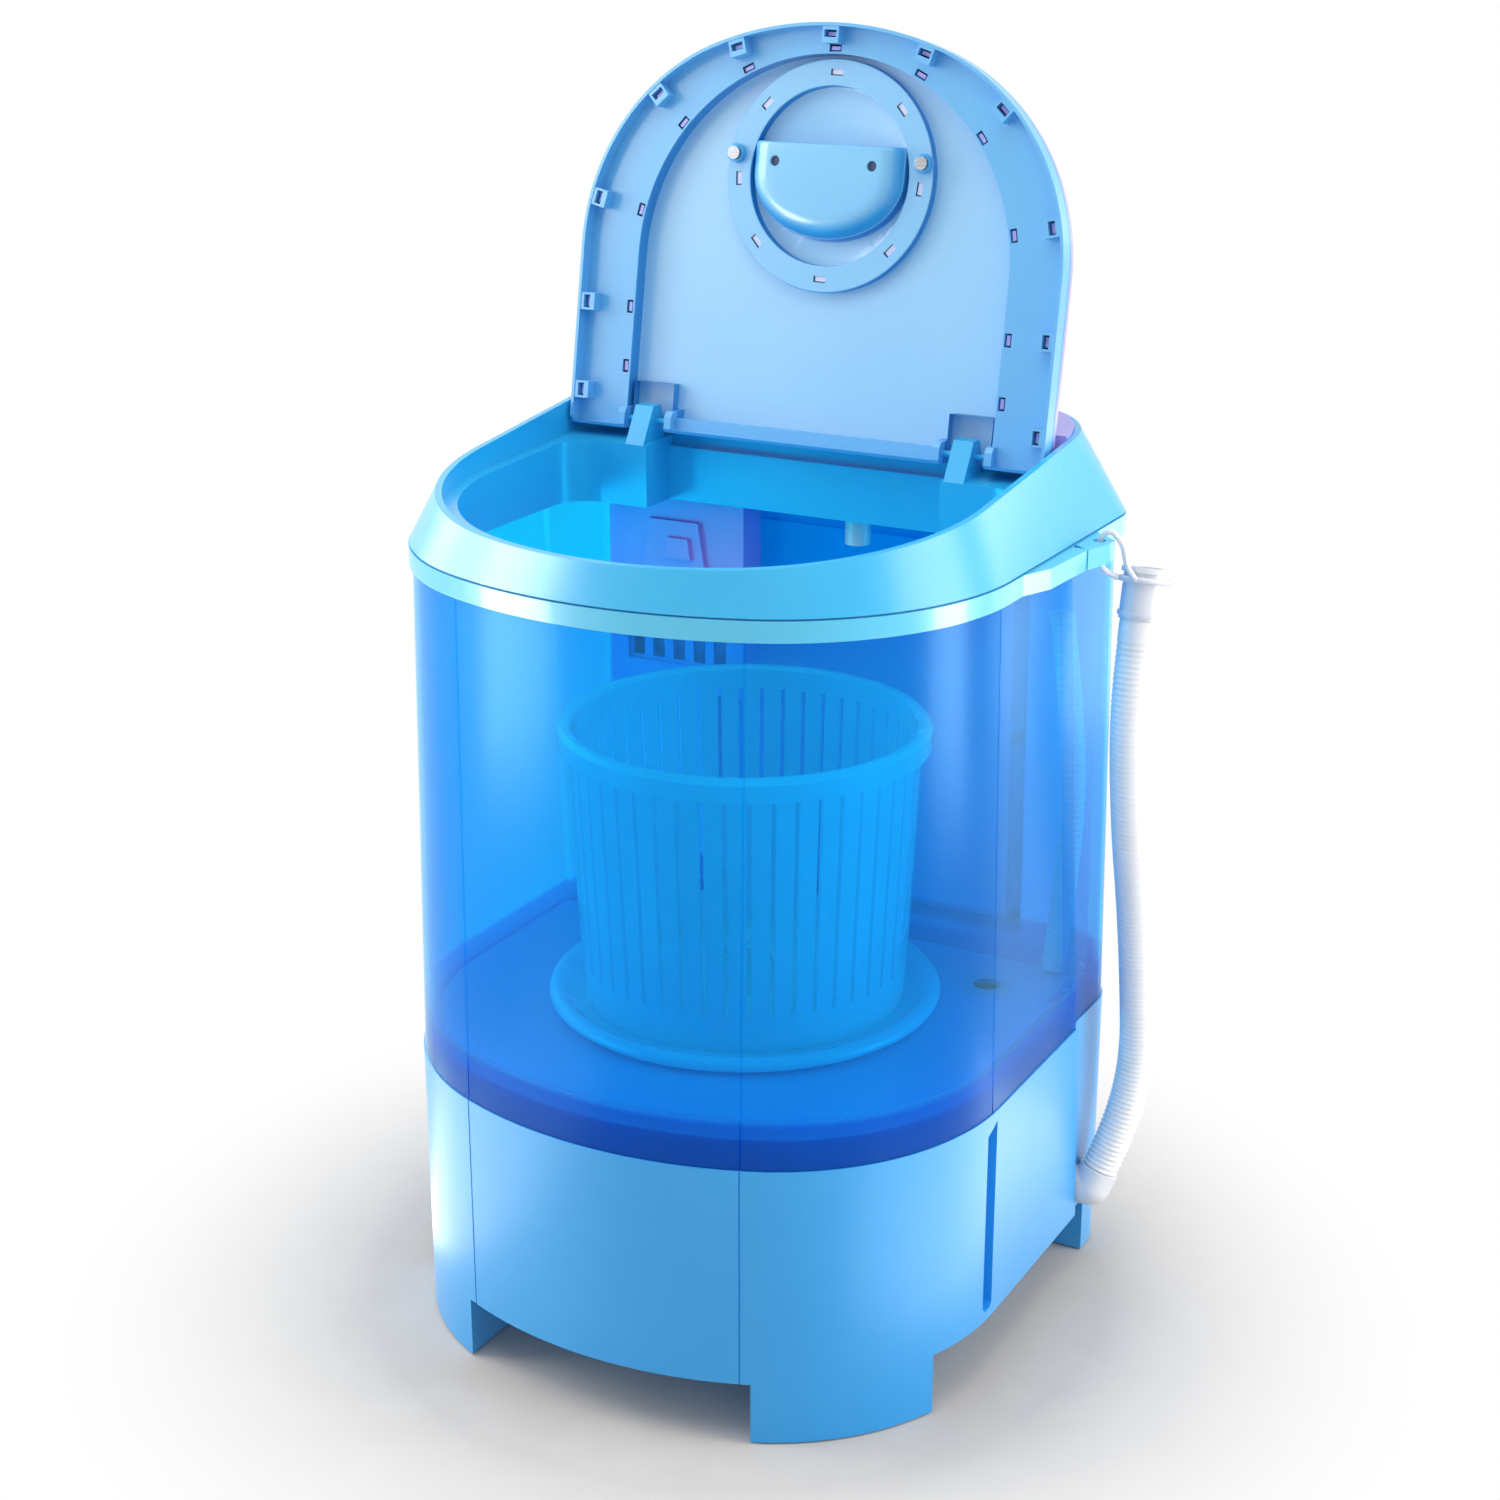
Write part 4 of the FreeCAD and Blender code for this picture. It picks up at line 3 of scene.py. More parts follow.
import bmesh
import bpy
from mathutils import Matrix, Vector


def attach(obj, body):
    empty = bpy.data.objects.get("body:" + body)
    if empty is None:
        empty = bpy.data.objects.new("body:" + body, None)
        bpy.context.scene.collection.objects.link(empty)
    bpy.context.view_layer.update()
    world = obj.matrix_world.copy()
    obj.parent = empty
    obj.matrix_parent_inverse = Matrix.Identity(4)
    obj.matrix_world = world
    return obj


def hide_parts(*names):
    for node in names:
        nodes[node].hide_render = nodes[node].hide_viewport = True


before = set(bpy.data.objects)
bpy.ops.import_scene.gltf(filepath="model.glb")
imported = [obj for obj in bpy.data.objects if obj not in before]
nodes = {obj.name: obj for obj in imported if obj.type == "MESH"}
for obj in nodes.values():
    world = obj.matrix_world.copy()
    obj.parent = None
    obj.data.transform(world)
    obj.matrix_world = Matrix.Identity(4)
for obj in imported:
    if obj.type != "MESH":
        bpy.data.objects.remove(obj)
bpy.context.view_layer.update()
scene = bpy.context.scene
scene.view_settings.view_transform = "Standard"

MM = 0.001
TURN = 2 * math.pi
SIDES = (("left", -1), ("right", 1))

# the open lid: its hinge edge in mm, and the sine and cosine of how far it leans back
LID_Y, LID_Z = 67.13, 499.36
LEAN_SIN, LEAN_COS = 0.17365, 0.98481

# ---------------------------------------------------------------- camera

CAMERA_PLACE = (0.6551, -1.1916, 0.8106)
CAMERA_LOOK = (-0.4509, 0.8300, -0.3282)
SENSOR_WIDTH = 36
LENS = 60.94
CLIP_START = 0.02


def facing(way):
    """The rotation of a camera or lamp that looks this way."""
    return way.to_track_quat("-Z", "Y").to_euler()


cam_data = bpy.data.cameras.new("camera")
cam = bpy.data.objects.new("camera", cam_data)
scene.collection.objects.link(cam)
cam.location = CAMERA_PLACE
cam.rotation_euler = facing(Vector(CAMERA_LOOK).normalized())
cam_data.sensor_width = SENSOR_WIDTH
cam_data.lens = LENS
cam_data.clip_start = CLIP_START
scene.camera = cam

# ------------------------------------------------------------- materials


def srgb(text):
    """Linear colour from a six-digit web colour."""
    out = []
    for i in (0, 2, 4):
        v = int(text[i:i + 2], 16) / 255
        out.append(v / 12.92 if v <= 0.04045 else ((v + 0.055) / 1.055) ** 2.4)
    return (*out, 1.0)


def dimmed(color, share):
    """This share of a colour."""
    return tuple(c * share for c in color[:3]) + (1,)


class Graph:
    """A small helper for building the nodes of one material, or of the world."""

    def __init__(self, name, world=False):
        library = bpy.data.worlds if world else bpy.data.materials
        self.owner = library.new(name)
        self.owner.use_nodes = True
        self.tree = self.owner.node_tree
        self.tree.nodes.clear()
        self.out = self.add("ShaderNodeOutputWorld" if world else "ShaderNodeOutputMaterial")
        if not world:
            self.coord = self.add("ShaderNodeTexCoord").outputs["Object"]

    def add(self, kind, **values):
        node = self.tree.nodes.new(kind)
        for key, value in values.items():
            setattr(node, key, value)
        return node

    def link(self, a, b):
        self.tree.links.new(a, b)

    def set(self, socket, value):
        """Link a socket's value in, or set a plain one."""
        if isinstance(value, bpy.types.NodeSocket):
            self.link(value, socket)
        else:
            socket.default_value = value

    def math(self, op, a, b=0.0, c=0.0):
        node = self.add("ShaderNodeMath", operation=op)
        for socket, value in zip(node.inputs, (a, b, c)):
            self.set(socket, value)
        return node.outputs[0]

    def noise(self, scale, detail=3.0, rough=0.5, coord=None):
        node = self.add("ShaderNodeTexNoise")
        self.link(coord or self.coord, node.inputs["Vector"])
        node.inputs["Scale"].default_value = scale
        node.inputs["Detail"].default_value = detail
        node.inputs["Roughness"].default_value = rough
        return node.outputs["Fac"]

    def ramp(self, value, low, high, out_low=0.0, out_high=1.0):
        """A smooth step from out_low, where value is low, to out_high, where it is high."""
        node = self.add("ShaderNodeMapRange", interpolation_type="SMOOTHSTEP")
        self.link(value, node.inputs["Value"])
        node.inputs["From Min"].default_value = low
        node.inputs["From Max"].default_value = high
        node.inputs["To Min"].default_value = out_low
        node.inputs["To Max"].default_value = out_high
        return node.outputs["Result"]

    def mix(self, factor, a, b):
        node = self.add("ShaderNodeMix", data_type="RGBA")
        self.set(node.inputs[0], factor)
        self.set(node.inputs[6], a)
        self.set(node.inputs[7], b)
        return node.outputs[2]

    def axes(self, source=None):
        node = self.add("ShaderNodeSeparateXYZ")
        self.link(source or self.coord, node.inputs[0])
        return node.outputs

    def over_lid(self):
        """Height over the open lid's lower face, in metres."""
        _, y, z = self.axes()
        return self.math(
            "SUBTRACT",
            self.math("MULTIPLY", self.math("SUBTRACT", y, LID_Y * MM), LEAN_COS),
            self.math("MULTIPLY", self.math("SUBTRACT", z, LID_Z * MM), LEAN_SIN))

    def bump(self, height, strength, distance):
        node = self.add("ShaderNodeBump")
        node.inputs["Strength"].default_value = strength
        node.inputs["Distance"].default_value = distance
        self.link(height, node.inputs["Height"])
        return node.outputs["Normal"]

    def mirror(self, least):
        """The share of light a smooth surface mirrors, the same on both its sides."""
        layer = self.add("ShaderNodeLayerWeight")
        layer.inputs["Blend"].default_value = 0.5
        fifth = self.math("POWER", layer.outputs["Facing"], 5.0)
        return self.math("MULTIPLY_ADD", fifth, 0.9, least)

    def principled(self, color, rough, normal, **plain):
        """The general shader; plain sets its other sockets, with _ for a space."""
        node = self.add("ShaderNodeBsdfPrincipled")
        self.set(node.inputs["Base Color"], color)
        self.set(node.inputs["Roughness"], rough)
        self.link(normal, node.inputs["Normal"])
        for key, value in plain.items():
            node.inputs[key.replace("_", " ")].default_value = value
        return node.outputs[0]

    def shader(self, kind, color, **sockets):
        """A simple shader of one colour, with some of its other sockets set."""
        node = self.add(kind)
        self.set(node.inputs["Color"], color)
        for key, value in sockets.items():
            self.set(node.inputs[key], value)
        return node.outputs[0]

    def blend(self, share, a, b):
        """Shader a, with this share of shader b."""
        node = self.add("ShaderNodeMixShader")
        self.set(node.inputs[0], share)
        self.link(a, node.inputs[1])
        self.link(b, node.inputs[2])
        return node.outputs[0]

    def finish(self, surface):
        self.link(surface, self.out.inputs["Surface"])
        return self.owner


def moulded(name, color, second, rough, texture=0.04, grain=900, painted_shade_rows=(), **plain):
    """Injection moulded plastic: faint flow clouds, a fine grain and handling wear.

    The height rows are for the lid's inside: each gives two heights over its lower face, in
    metres, and the colour of what stands below them; these colours are painted shade, darker on
    the walls between the lid's levels.
    """
    g = Graph(name)
    tone = g.mix(g.ramp(g.noise(9, detail=4), 0.35, 0.65), srgb(color), srgb(second))
    # painted shade: each row tints what stands below its heights, darkening the walls between
    # levels
    if painted_shade_rows:
        above = g.over_lid()
        for low, high, shade in painted_shade_rows:
            tone = g.mix(g.ramp(above, low, high, 1.0, 0.0), tone, srgb(shade))
    wear = g.ramp(g.noise(22, detail=4), 0.3, 0.75, rough * 0.94, rough * 1.08)
    fine = g.bump(g.noise(grain, detail=2), texture, distance=0.0004)
    return g.finish(g.principled(tone, wear, fine, **plain))


def metal(name, color, rough, scale=(60, 60, 900)):
    """Bare metal with faint lines, which run across the axis of the largest scale."""
    g = Graph(name)
    scaled = g.add("ShaderNodeMapping")
    g.link(g.coord, scaled.inputs["Vector"])
    scaled.inputs["Scale"].default_value = scale
    lines = g.noise(1.0, detail=3, rough=0.6, coord=scaled.outputs[0])
    bright = srgb(color)
    tone = g.mix(g.ramp(lines, 0.3, 0.7), bright, dimmed(bright, 0.8))
    wear = g.ramp(lines, 0.3, 0.7, rough * 0.7, rough * 1.4)
    fine = g.bump(lines, 0.08, distance=0.0003)
    return g.finish(g.principled(tone, wear, fine, Metallic=1.0))


def clear_tub(foot_low=0.191, foot_high=0.1975):
    """Clear blue plastic: tinted deeper at grazing angles, cloudy where it lies flat.

    The wall is darker below foot_low, a painted shade, and as usual above foot_high. It is also
    a little cloudier towards the top, where the haze is partly a painted sheen.
    """
    g = Graph("tub_blue")
    height = g.axes()[2]
    layer = g.add("ShaderNodeLayerWeight")
    layer.inputs["Blend"].default_value = 0.3
    cloud = g.ramp(g.noise(5), 0.3, 0.7)
    face = g.mix(cloud, (0.14, 0.835, 0.995, 1), (0.11, 0.81, 0.99, 1))
    tint = g.mix(layer.outputs["Facing"], face, (0.02, 0.56, 0.96, 1))
    through = g.shader("ShaderNodeBsdfTransparent", tint)

    normal = g.add("ShaderNodeNewGeometry").outputs["True Normal"]
    flat = g.ramp(g.math("ABSOLUTE", g.axes(normal)[2]), 0.6, 0.9)
    # painted shade: the wall's colour darkens near its foot, below the tub's floor
    foot_shade = g.math("MULTIPLY", g.ramp(height, foot_low, foot_high, 1.0, 0.0),
                  g.math("SUBTRACT", 1.0, flat))
    haze = g.mix(cloud, (0.02, 0.72, 1.0, 1), (0.01, 0.68, 1.0, 1))
    milk = g.shader("ShaderNodeBsdfDiffuse", g.mix(foot_shade, haze, (0.0, 0.17, 0.72, 1)))
    glow = g.shader("ShaderNodeBsdfTranslucent",
                    g.mix(foot_shade, (0.02, 0.75, 1.0, 1), (0.0, 0.2, 0.8, 1)))

    # the wall grows a little cloudier towards the top: partly real haze, partly a painted sheen
    uneven = g.math("ADD", height, g.math("MULTIPLY", g.noise(6), 0.08))
    on_wall = g.math("MAXIMUM", g.ramp(uneven, 0.26, 0.46, 0.08, 0.12),
                     g.math("MULTIPLY", foot_shade, 0.6))
    cloudy = g.math("MAXIMUM", g.math("MULTIPLY", flat, 0.85), on_wall)
    mass = g.blend(cloudy, through, g.blend(0.5, milk, glow))
    gloss = g.shader("ShaderNodeBsdfGlossy", (0.7, 0.92, 1, 1),
                     Roughness=g.ramp(g.noise(12), 0.3, 0.8, 0.24, 0.27),
                     Normal=g.bump(g.noise(25, detail=2), 0.015, distance=0.0008))
    return g.finish(g.blend(g.mirror(0.012), mass, gloss))


def milky(name, color, back, clear):
    """Milky plastic: lit from both sides, glossy, and see-through by the share clear."""
    g = Graph(name)
    tone = g.mix(g.ramp(g.noise(12, detail=4), 0.3, 0.7), color, dimmed(color, 0.92))
    skin = g.shader("ShaderNodeBsdfDiffuse", tone)
    deep = g.shader("ShaderNodeBsdfTranslucent", back)
    hole = g.shader("ShaderNodeBsdfTransparent", tuple(c ** 0.5 for c in back[:3]) + (1,))
    mass = g.blend(clear, g.blend(0.45, skin, deep), hole)
    gloss = g.shader("ShaderNodeBsdfGlossy", (0.8, 0.8, 0.8, 1),
                     Roughness=g.ramp(g.noise(40, detail=4), 0.3, 0.8, 0.2, 0.3),
                     Normal=g.bump(g.noise(400, detail=2), 0.04, distance=0.0004))
    return g.finish(g.blend(g.mirror(0.04), mass, gloss))


def soft_white(name):
    """The hose's soft white plastic, which light sinks into."""
    g = Graph(name)
    tone = g.mix(g.ramp(g.noise(14, detail=4), 0.3, 0.7), srgb("faf8f6"), srgb("f3f1ef"))
    wear = g.ramp(g.noise(50), 0.3, 0.7, 0.3, 0.45)
    fine = g.bump(g.noise(700, detail=2), 0.05, distance=0.0004)
    return g.finish(g.principled(
        tone, wear, fine, Subsurface_Weight=0.4, Subsurface_Radius=(0.01, 0.01, 0.01),
        Subsurface_Scale=0.5))


BASE = moulded("base_blue", "2ea6ec", "28a1ea", 0.32, Specular_IOR_Level=0.3,
               Coat_Weight=0.6, Coat_Roughness=0.42)
RIM = moulded("rim_cyan", "5ccdf2", "54c8f0", 0.3, Coat_Weight=0.4, Coat_Roughness=0.1)
COLLAR = moulded("collar_cyan", "2cb4e8", "27b0e6", 0.3, Coat_Weight=0.5, Coat_Roughness=0.26)
# the lid and the grip get painted shade by height: darker tones on the walls between their
# levels
LID = moulded("lid_blue", "9fd3f6", "99d0f4", 0.35, Coat_Weight=0.3, Coat_Roughness=0.15,
              painted_shade_rows=((0.0178, 0.0186, "2f93d6"), (0.0088, 0.0102, "66b6ea")))
GRIP = moulded("grip_blue", "97cff5", "90cbf3", 0.32, Coat_Weight=0.3, Coat_Roughness=0.12,
               painted_shade_rows=((0.0182, 0.0188, "2288cc"), (0.0131, 0.0135, "86c6f0"),
                       (0.0118, 0.0128, "38a4e2"), (0.0052, 0.009, "7cc4ee")))
LILAC = moulded("lilac", "aaa8ee", "a2a0ea", 0.3, Coat_Weight=0.4, Coat_Roughness=0.1)
TUB = clear_tub()
VIOLET = moulded("violet", "d8a8f0", "d0a0ec", 0.3)
COVER = milky("rear_cover_blue", (0.25, 0.72, 1.0, 1), (0.2, 0.7, 1.0, 1), 0.12)
BASKET = milky("basket_blue", (0.4, 0.93, 1.0, 1), (0.3, 0.88, 1.0, 1), 0.04)
WHITE = moulded("white_plastic", "e8e8ec", "dfe0e6", 0.35)
DARK = moulded("dark_plastic", "2b2d33", "24262b", 0.45, texture=0.1)
RUBBER = moulded("rubber", "1b1b1d", "151517", 0.7, texture=0.25, grain=500)
CLIP = moulded("clip_lilac", "d8dcf4", "ccd0f0", 0.35)
# a dark blue that stands in for the shade deep in the cup's holes: painted shade
HOLE_SHADE = moulded("hole_shade_blue", "0d3a66", "0a335c", 0.5)
STEEL = metal("steel", "9a9da2", 0.32)
ALLOY = metal("alloy", "b9bcc2", 0.4, scale=(120, 120, 120))
CASING = moulded("motor_casing", "3b4048", "33373e", 0.5, texture=0.2, grain=400)
HOSE_PLASTIC = soft_white("hose_plastic")

finishes = {
    BASE: ["base_housing", "bottom_cover"],
    COVER: ["rear_cover"],
    RIM: ["rim"],
    COLLAR: ["collar", "splash_plate", "hinge_pin_left", "hinge_pin_right"],
    LID: ["lid_panel"],
    GRIP: ["lid_grip"],
    LILAC: ["lid_cover", "control_panel"],
    VIOLET: ["filter_housing", "filter_clip", "filter_screen"],
    TUB: ["tub"],
    BASKET: ["basket", "pulsator", "basket_lock_nut"],
    WHITE: ["inlet_pipe", "timer_knob", "selector_knob", "capacitor", "hose_hook",
            "hose_cuff", "drain_hose", "drain_outlet", "drain_pipe"],
    DARK: ["cord_gland", "timer_unit", "selector_unit", "bearing_housing", "drain_spout"],
    RUBBER: ["foot_pad_front_left", "foot_pad_front_right", "foot_pad_rear_left",
             "foot_pad_rear_right", "shaft_seal", "drive_belt"],
    STEEL: ["bottom_cover_screws", "rear_cover_screws", "lid_grip_screws", "drive_shaft",
            "bearing_screws", "lower_bearing", "upper_bearing", "motor_plate_screws",
            "motor_rotor", "timer_shaft", "selector_shaft"],
    ALLOY: ["drive_pulley", "motor_plate", "motor_pulley", "capacitor_clamp"],
    CASING: ["motor_housing"],
}
for material, names in finishes.items():
    for name in names:
        for slot in nodes[name].material_slots:
            slot.material = material

# ------------------------------------------------------------ mesh tools


def add_object(name, mesh):
    piece = bpy.data.objects.new(name, mesh)
    scene.collection.objects.link(piece)
    return piece


def make_object(name, mesh, material, smooth=True):
    """An object of one material, all smooth or all flat."""
    piece = add_object(name, mesh)
    mesh.materials.append(material)
    for face in mesh.polygons:
        face.use_smooth = smooth
    return piece


def mesh_of(name, bm):
    """The mesh of a bmesh, with all its faces turned outwards."""
    bmesh.ops.recalc_face_normals(bm, faces=bm.faces)
    mesh = bpy.data.meshes.new(name)
    bm.to_mesh(mesh)
    bm.free()
    return mesh


def bridge(bm, a, b):
    """Four-sided faces between two rings of as many corners."""
    for k in range(len(a)):
        m = (k + 1) % len(a)
        bm.faces.new((a[k], a[m], b[m], b[k]))


def sheet_piece(name, corners, faces, material):
    """A piece made of flat faces between given corners."""
    mesh = bpy.data.meshes.new(name)
    mesh.from_pydata([tuple(c) for c in corners], [], faces)
    return make_object(name, mesh, material, smooth=False)


def lathe(name, profile, centre, sides, material):
    """A turned piece: a closed profile of (radius, height) in metres round an upright axis."""
    bm = bmesh.new()
    rings = []
    for k in range(sides):
        a = TURN * k / sides
        rings.append([bm.verts.new((centre[0] + r * math.cos(a), centre[1] + r * math.sin(a), z))
                      for r, z in profile])
    count = len(profile)
    for k in range(sides):
        a, b = rings[k], rings[(k + 1) % sides]
        for i in range(count):
            bm.faces.new((a[i], b[i], b[(i + 1) % count], a[(i + 1) % count]))
    return make_object(name, mesh_of(name, bm), material)


def spline_points(points):
    """Points read from a NURBS spline through these control points."""
    curve = bpy.data.curves.new("route", "CURVE")
    curve.dimensions = "3D"
    curve.resolution_u = 24
    spline = curve.splines.new("NURBS")
    spline.points.add(len(points) - 1)
    for point, place in zip(spline.points, points):
        point.co = (*place, 1)
    spline.order_u = 3
    spline.use_endpoint_u = True
    piece = add_object("route", curve)
    bpy.context.view_layer.update()
    mesh = bpy.data.meshes.new_from_object(piece)
    line = [v.co.copy() for v in mesh.vertices]
    bpy.data.objects.remove(piece)
    bpy.data.curves.remove(curve)
    bpy.data.meshes.remove(mesh)
    return line


def along(line, step):
    """Evenly spaced points and directions along a polyline, and its length."""
    total = sum((b - a).length for a, b in zip(line, line[1:]))
    count = max(2, round(total / step))
    spots, gone, k = [], 0.0, 0
    for i in range(count + 1):
        target = total * i / count
        while k < len(line) - 2 and gone + (line[k + 1] - line[k]).length < target:
            gone += (line[k + 1] - line[k]).length
            k += 1
        piece = line[k + 1] - line[k]
        spots.append(line[k] + piece * min(1.0, (target - gone) / piece.length))
    ways = [(spots[min(i + 1, count)] - spots[max(i - 1, 0)]).normalized()
            for i in range(len(spots))]
    return spots, ways, total


def tube(name, line, radius_at, step, sides, bore, material):
    """A tube along a line, and the points it follows.

    Its radius is a function of the distance along it and of its length. A ring round the
    bore closes each end, and the bore's wall runs a short way in from the far end.
    """
    hollow = 0.02
    spots, ways, total = along(line, step)
    bm = bmesh.new()
    side = ways[0].orthogonal().normalized()
    rings = []
    for i, (spot, way) in enumerate(zip(spots, ways)):
        side = (side - way * side.dot(way)).normalized()
        across = way.cross(side)
        r = radius_at(total * i / (len(spots) - 1), total)
        rings.append([bm.verts.new(spot + (side * math.cos(a) + across * math.sin(a)) * r)
                      for a in (TURN * k / sides for k in range(sides))])
    near, far = ([bm.verts.new(spots[end] + (v.co - spots[end]).normalized() * bore)
                  for v in rings[end]] for end in (0, -1))
    deep = [bm.verts.new(v.co - ways[-1] * hollow) for v in far]
    for a, b in zip(rings, rings[1:]):
        bridge(bm, a, b)
    for a, b in ((near, rings[0]), (rings[-1], far), (far, deep)):
        bridge(bm, a, b)
    return make_object(name, mesh_of(name, bm), material), spots


def ribbed(radius, depth, pitch, s):
    """The radius of a ribbed tube at a distance s along it."""
    return radius - depth * (0.5 + 0.5 * math.cos(TURN * s / pitch))


# ------------------------------------------------------------ drain hose

HOSE = [(0.1856, 0.1172, 0.06407), (0.19469, 0.12629, 0.0915), (0.2006, 0.1342, 0.1354),
        (0.1996, 0.129, 0.187), (0.199, 0.118, 0.242), (0.199, 0.103, 0.290),
        (0.199, 0.092, 0.350), (0.199, 0.0935, 0.388), (0.199, 0.1005, 0.417)]
HOSE_RADIUS, HOSE_BORE, HOSE_PITCH = 0.011, 0.009, 0.0031
DEEP_RIB, DEEP_RIBS_END = 0.0015, 0.075
FAINT_RIB, PLAIN_END = 0.00055, 0.012


def hose_radius(s, total):
    """Corrugated at the lower end, with fainter ribs further up and none at the top."""
    depth = DEEP_RIB if s < DEEP_RIBS_END else FAINT_RIB
    if s > total - PLAIN_END:
        depth = 0.0
    return ribbed(HOSE_RADIUS, depth, HOSE_PITCH, s)


hose, hose_path = tube("drain_hose_piece", spline_points(HOSE), hose_radius, 0.0005, 40,
                       HOSE_BORE, HOSE_PLASTIC)
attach(hose, "cabinet")
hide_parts("drain_hose")

# ------------------------------------------------------ the lid's inside


def on_lid(x, y, z):
    """Metres, from millimetres across, along and above the lid, as it stands open."""
    return Vector((x, LID_Y - y * LEAN_SIN + z * LEAN_COS,
                   LID_Z - y * LEAN_COS - z * LEAN_SIN)) * MM


# blue linings in the two hinge notches of the lid
NOTCH_X = (88.2, 114.8)
NOTCH_Y = (-0.8, -27.8)
NOTCH_Z = (20.85, 12)
for side, sign in SIDES:
    a, b = NOTCH_X[0] * sign, NOTCH_X[1] * sign
    edge, deep = NOTCH_Y
    lining = sheet_piece(
        "notch_lining_" + side,
        [on_lid(x, y, z) for z in NOTCH_Z
         for x, y in ((a, edge), (b, edge), (b, deep), (a, deep))],
        [(0, 1, 2, 3), (2, 3, 7, 6), (0, 3, 7, 4), (1, 2, 6, 5)], LID)
    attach(lining, "lid")

# the round hand grip; its sizes are in mm on the lid
GRIP_Y = -152
RING_SECTION = [  # (radius, height)
    (64.5, 19.0), (64.5, 13.8), (64.3, 13.3), (63.8, 13.0), (50.2, 13.0), (49.7, 13.3),
    (49.5, 13.8), (49.5, 18.4), (49.3, 18.8), (48.8, 19.0), (0.05, 19.0), (0.05, 20.9),
    (51.5, 20.9), (51.5, 15.0), (62.5, 15.0), (62.5, 19.0)]
BOSS_X, BOSS_Y = 58.6, -161.8
BOSS_SECTION = [(5.4, 15.5), (5.4, 10.0), (5.1, 9.6), (4.7, 9.5)]
CUP_HALF, CUP_ROUND, CUP_FLAT, CUP_CORNER = 48, 36, 18, 2.5
CUP_WALL = 2.2
BOWL = [(13 * (1 - math.cos(t)), 19 - 14.3 * math.sin(t))  # (drawn in, height)
        for t in (math.pi / 2 * k / 12 for k in range(13))]
HOLE_X, HOLE_Y = 30.3, -158.5
SLOT_RADIUS = 57
SLOT_ANGLES = (0, 47.7, 94, 132.3, 180, 227.7, 266, 312.3)


def lid_solid(name, rings, closed=True):
    """A solid skinned over rings of points given on the lid.

    closed caps its two ends; otherwise the last ring is joined to the first.
    """
    bm = bmesh.new()
    rows = [[bm.verts.new(on_lid(*p)) for p in ring] for ring in rings]
    for a, b in zip(rows, rows[1:] + ([] if closed else rows[:1])):
        bridge(bm, a, b)
    if closed:
        bm.faces.new(rows[0])
        bm.faces.new(list(reversed(rows[-1])))
    return add_object(name, mesh_of(name, bm))


def round_rings(x, y, profile, sides):
    """Rings of points round an axis standing on the lid, from (radius, height)."""
    turns = [TURN * k / sides for k in range(sides)]
    return [[(x + r * math.cos(t), y + r * math.sin(t), z) for t in turns] for r, z in profile]


def cup_ring(inset, z):
    """The hand cup's outline, straight on one side, drawn in by so many mm.

    The round side draws in a little faster than that, and the straight one hardly does.
    """
    a, b, r = CUP_HALF - inset, CUP_ROUND - 1.1 * inset, CUP_CORNER
    top = CUP_FLAT - 0.12 * inset
    quarter = [math.pi * k / 12 for k in range(7)]
    line = [(a * math.cos(t), b * math.sin(t))
            for t in (-math.pi * k / 60 for k in range(61))]
    line += [(-a, (top - r) * k / 3) for k in (1, 2)]
    line += [(-a + r - r * math.cos(t), top - r + r * math.sin(t)) for t in quarter]
    line += [((a - r) * k / 6, top) for k in range(-5, 6)]
    line += [(a - r + r * math.sin(t), top - r + r * math.cos(t)) for t in quarter]
    line += [(a, (top - r) * k / 3) for k in (2, 1)]
    return [(x, GRIP_Y - y, z) for x, y in line]


def ring_window(angle, length, width, z, shift=0.0):
    """The corners of a slot that lies along the grip's ring."""
    t = math.radians(angle)
    across, out = (math.cos(t), math.sin(t)), (math.sin(t), -math.cos(t))
    return [(SLOT_RADIUS * out[0] + across[0] * u * length / 2
             + (out[0] * v + shift) * width / 2,
             GRIP_Y + SLOT_RADIUS * out[1] + across[1] * u * length / 2
             + (out[1] * v - shift) * width / 2, z)
            for u, v in ((-1, -1), (1, -1), (1, 1), (-1, 1))]


def joined(base, others, operation):
    """Join the other solids to the base, or cut them from it, and remove them."""
    for other in others:
        step = base.modifiers.new("step", "BOOLEAN")
        step.operation = operation
        step.solver = "EXACT"
        step.object = other
        bpy.context.view_layer.update()
        mesh = bpy.data.meshes.new_from_object(
            base.evaluated_get(bpy.context.evaluated_depsgraph_get()))
        base.modifiers.clear()
        base.data = mesh
        bpy.data.objects.remove(other)


grip = lid_solid("hand_grip", round_rings(0, GRIP_Y, RING_SECTION, 128), closed=False)
joined(grip,
       [lid_solid("cup_out", [cup_ring(0, 20.5)] + [cup_ring(i, z) for i, z in BOWL])]
       + [lid_solid("boss", round_rings(BOSS_X * sign, BOSS_Y, BOSS_SECTION, 32))
          for sign in (-1, 1)], "UNION")
joined(grip,
       [lid_solid("cup_in", [cup_ring(CUP_WALL, 24)]
                  + [cup_ring(CUP_WALL + i, z + CUP_WALL) for i, z in BOWL])]
       + [lid_solid("hole", round_rings(HOLE_X * sign, HOLE_Y, [(3, 9.5), (3, 3)], 24))
          for sign in (-1, 1)], "DIFFERENCE")
joined(grip, [lid_solid("slot", [ring_window(angle, 7.6, 3.6, z) for z in (16, 12)])
              for angle in SLOT_ANGLES], "DIFFERENCE")
grip.data.materials.clear()
grip.data.materials.append(GRIP)
grip.data.set_sharp_from_angle(angle=math.radians(28))
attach(grip, "lid")
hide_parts("lid_grip")

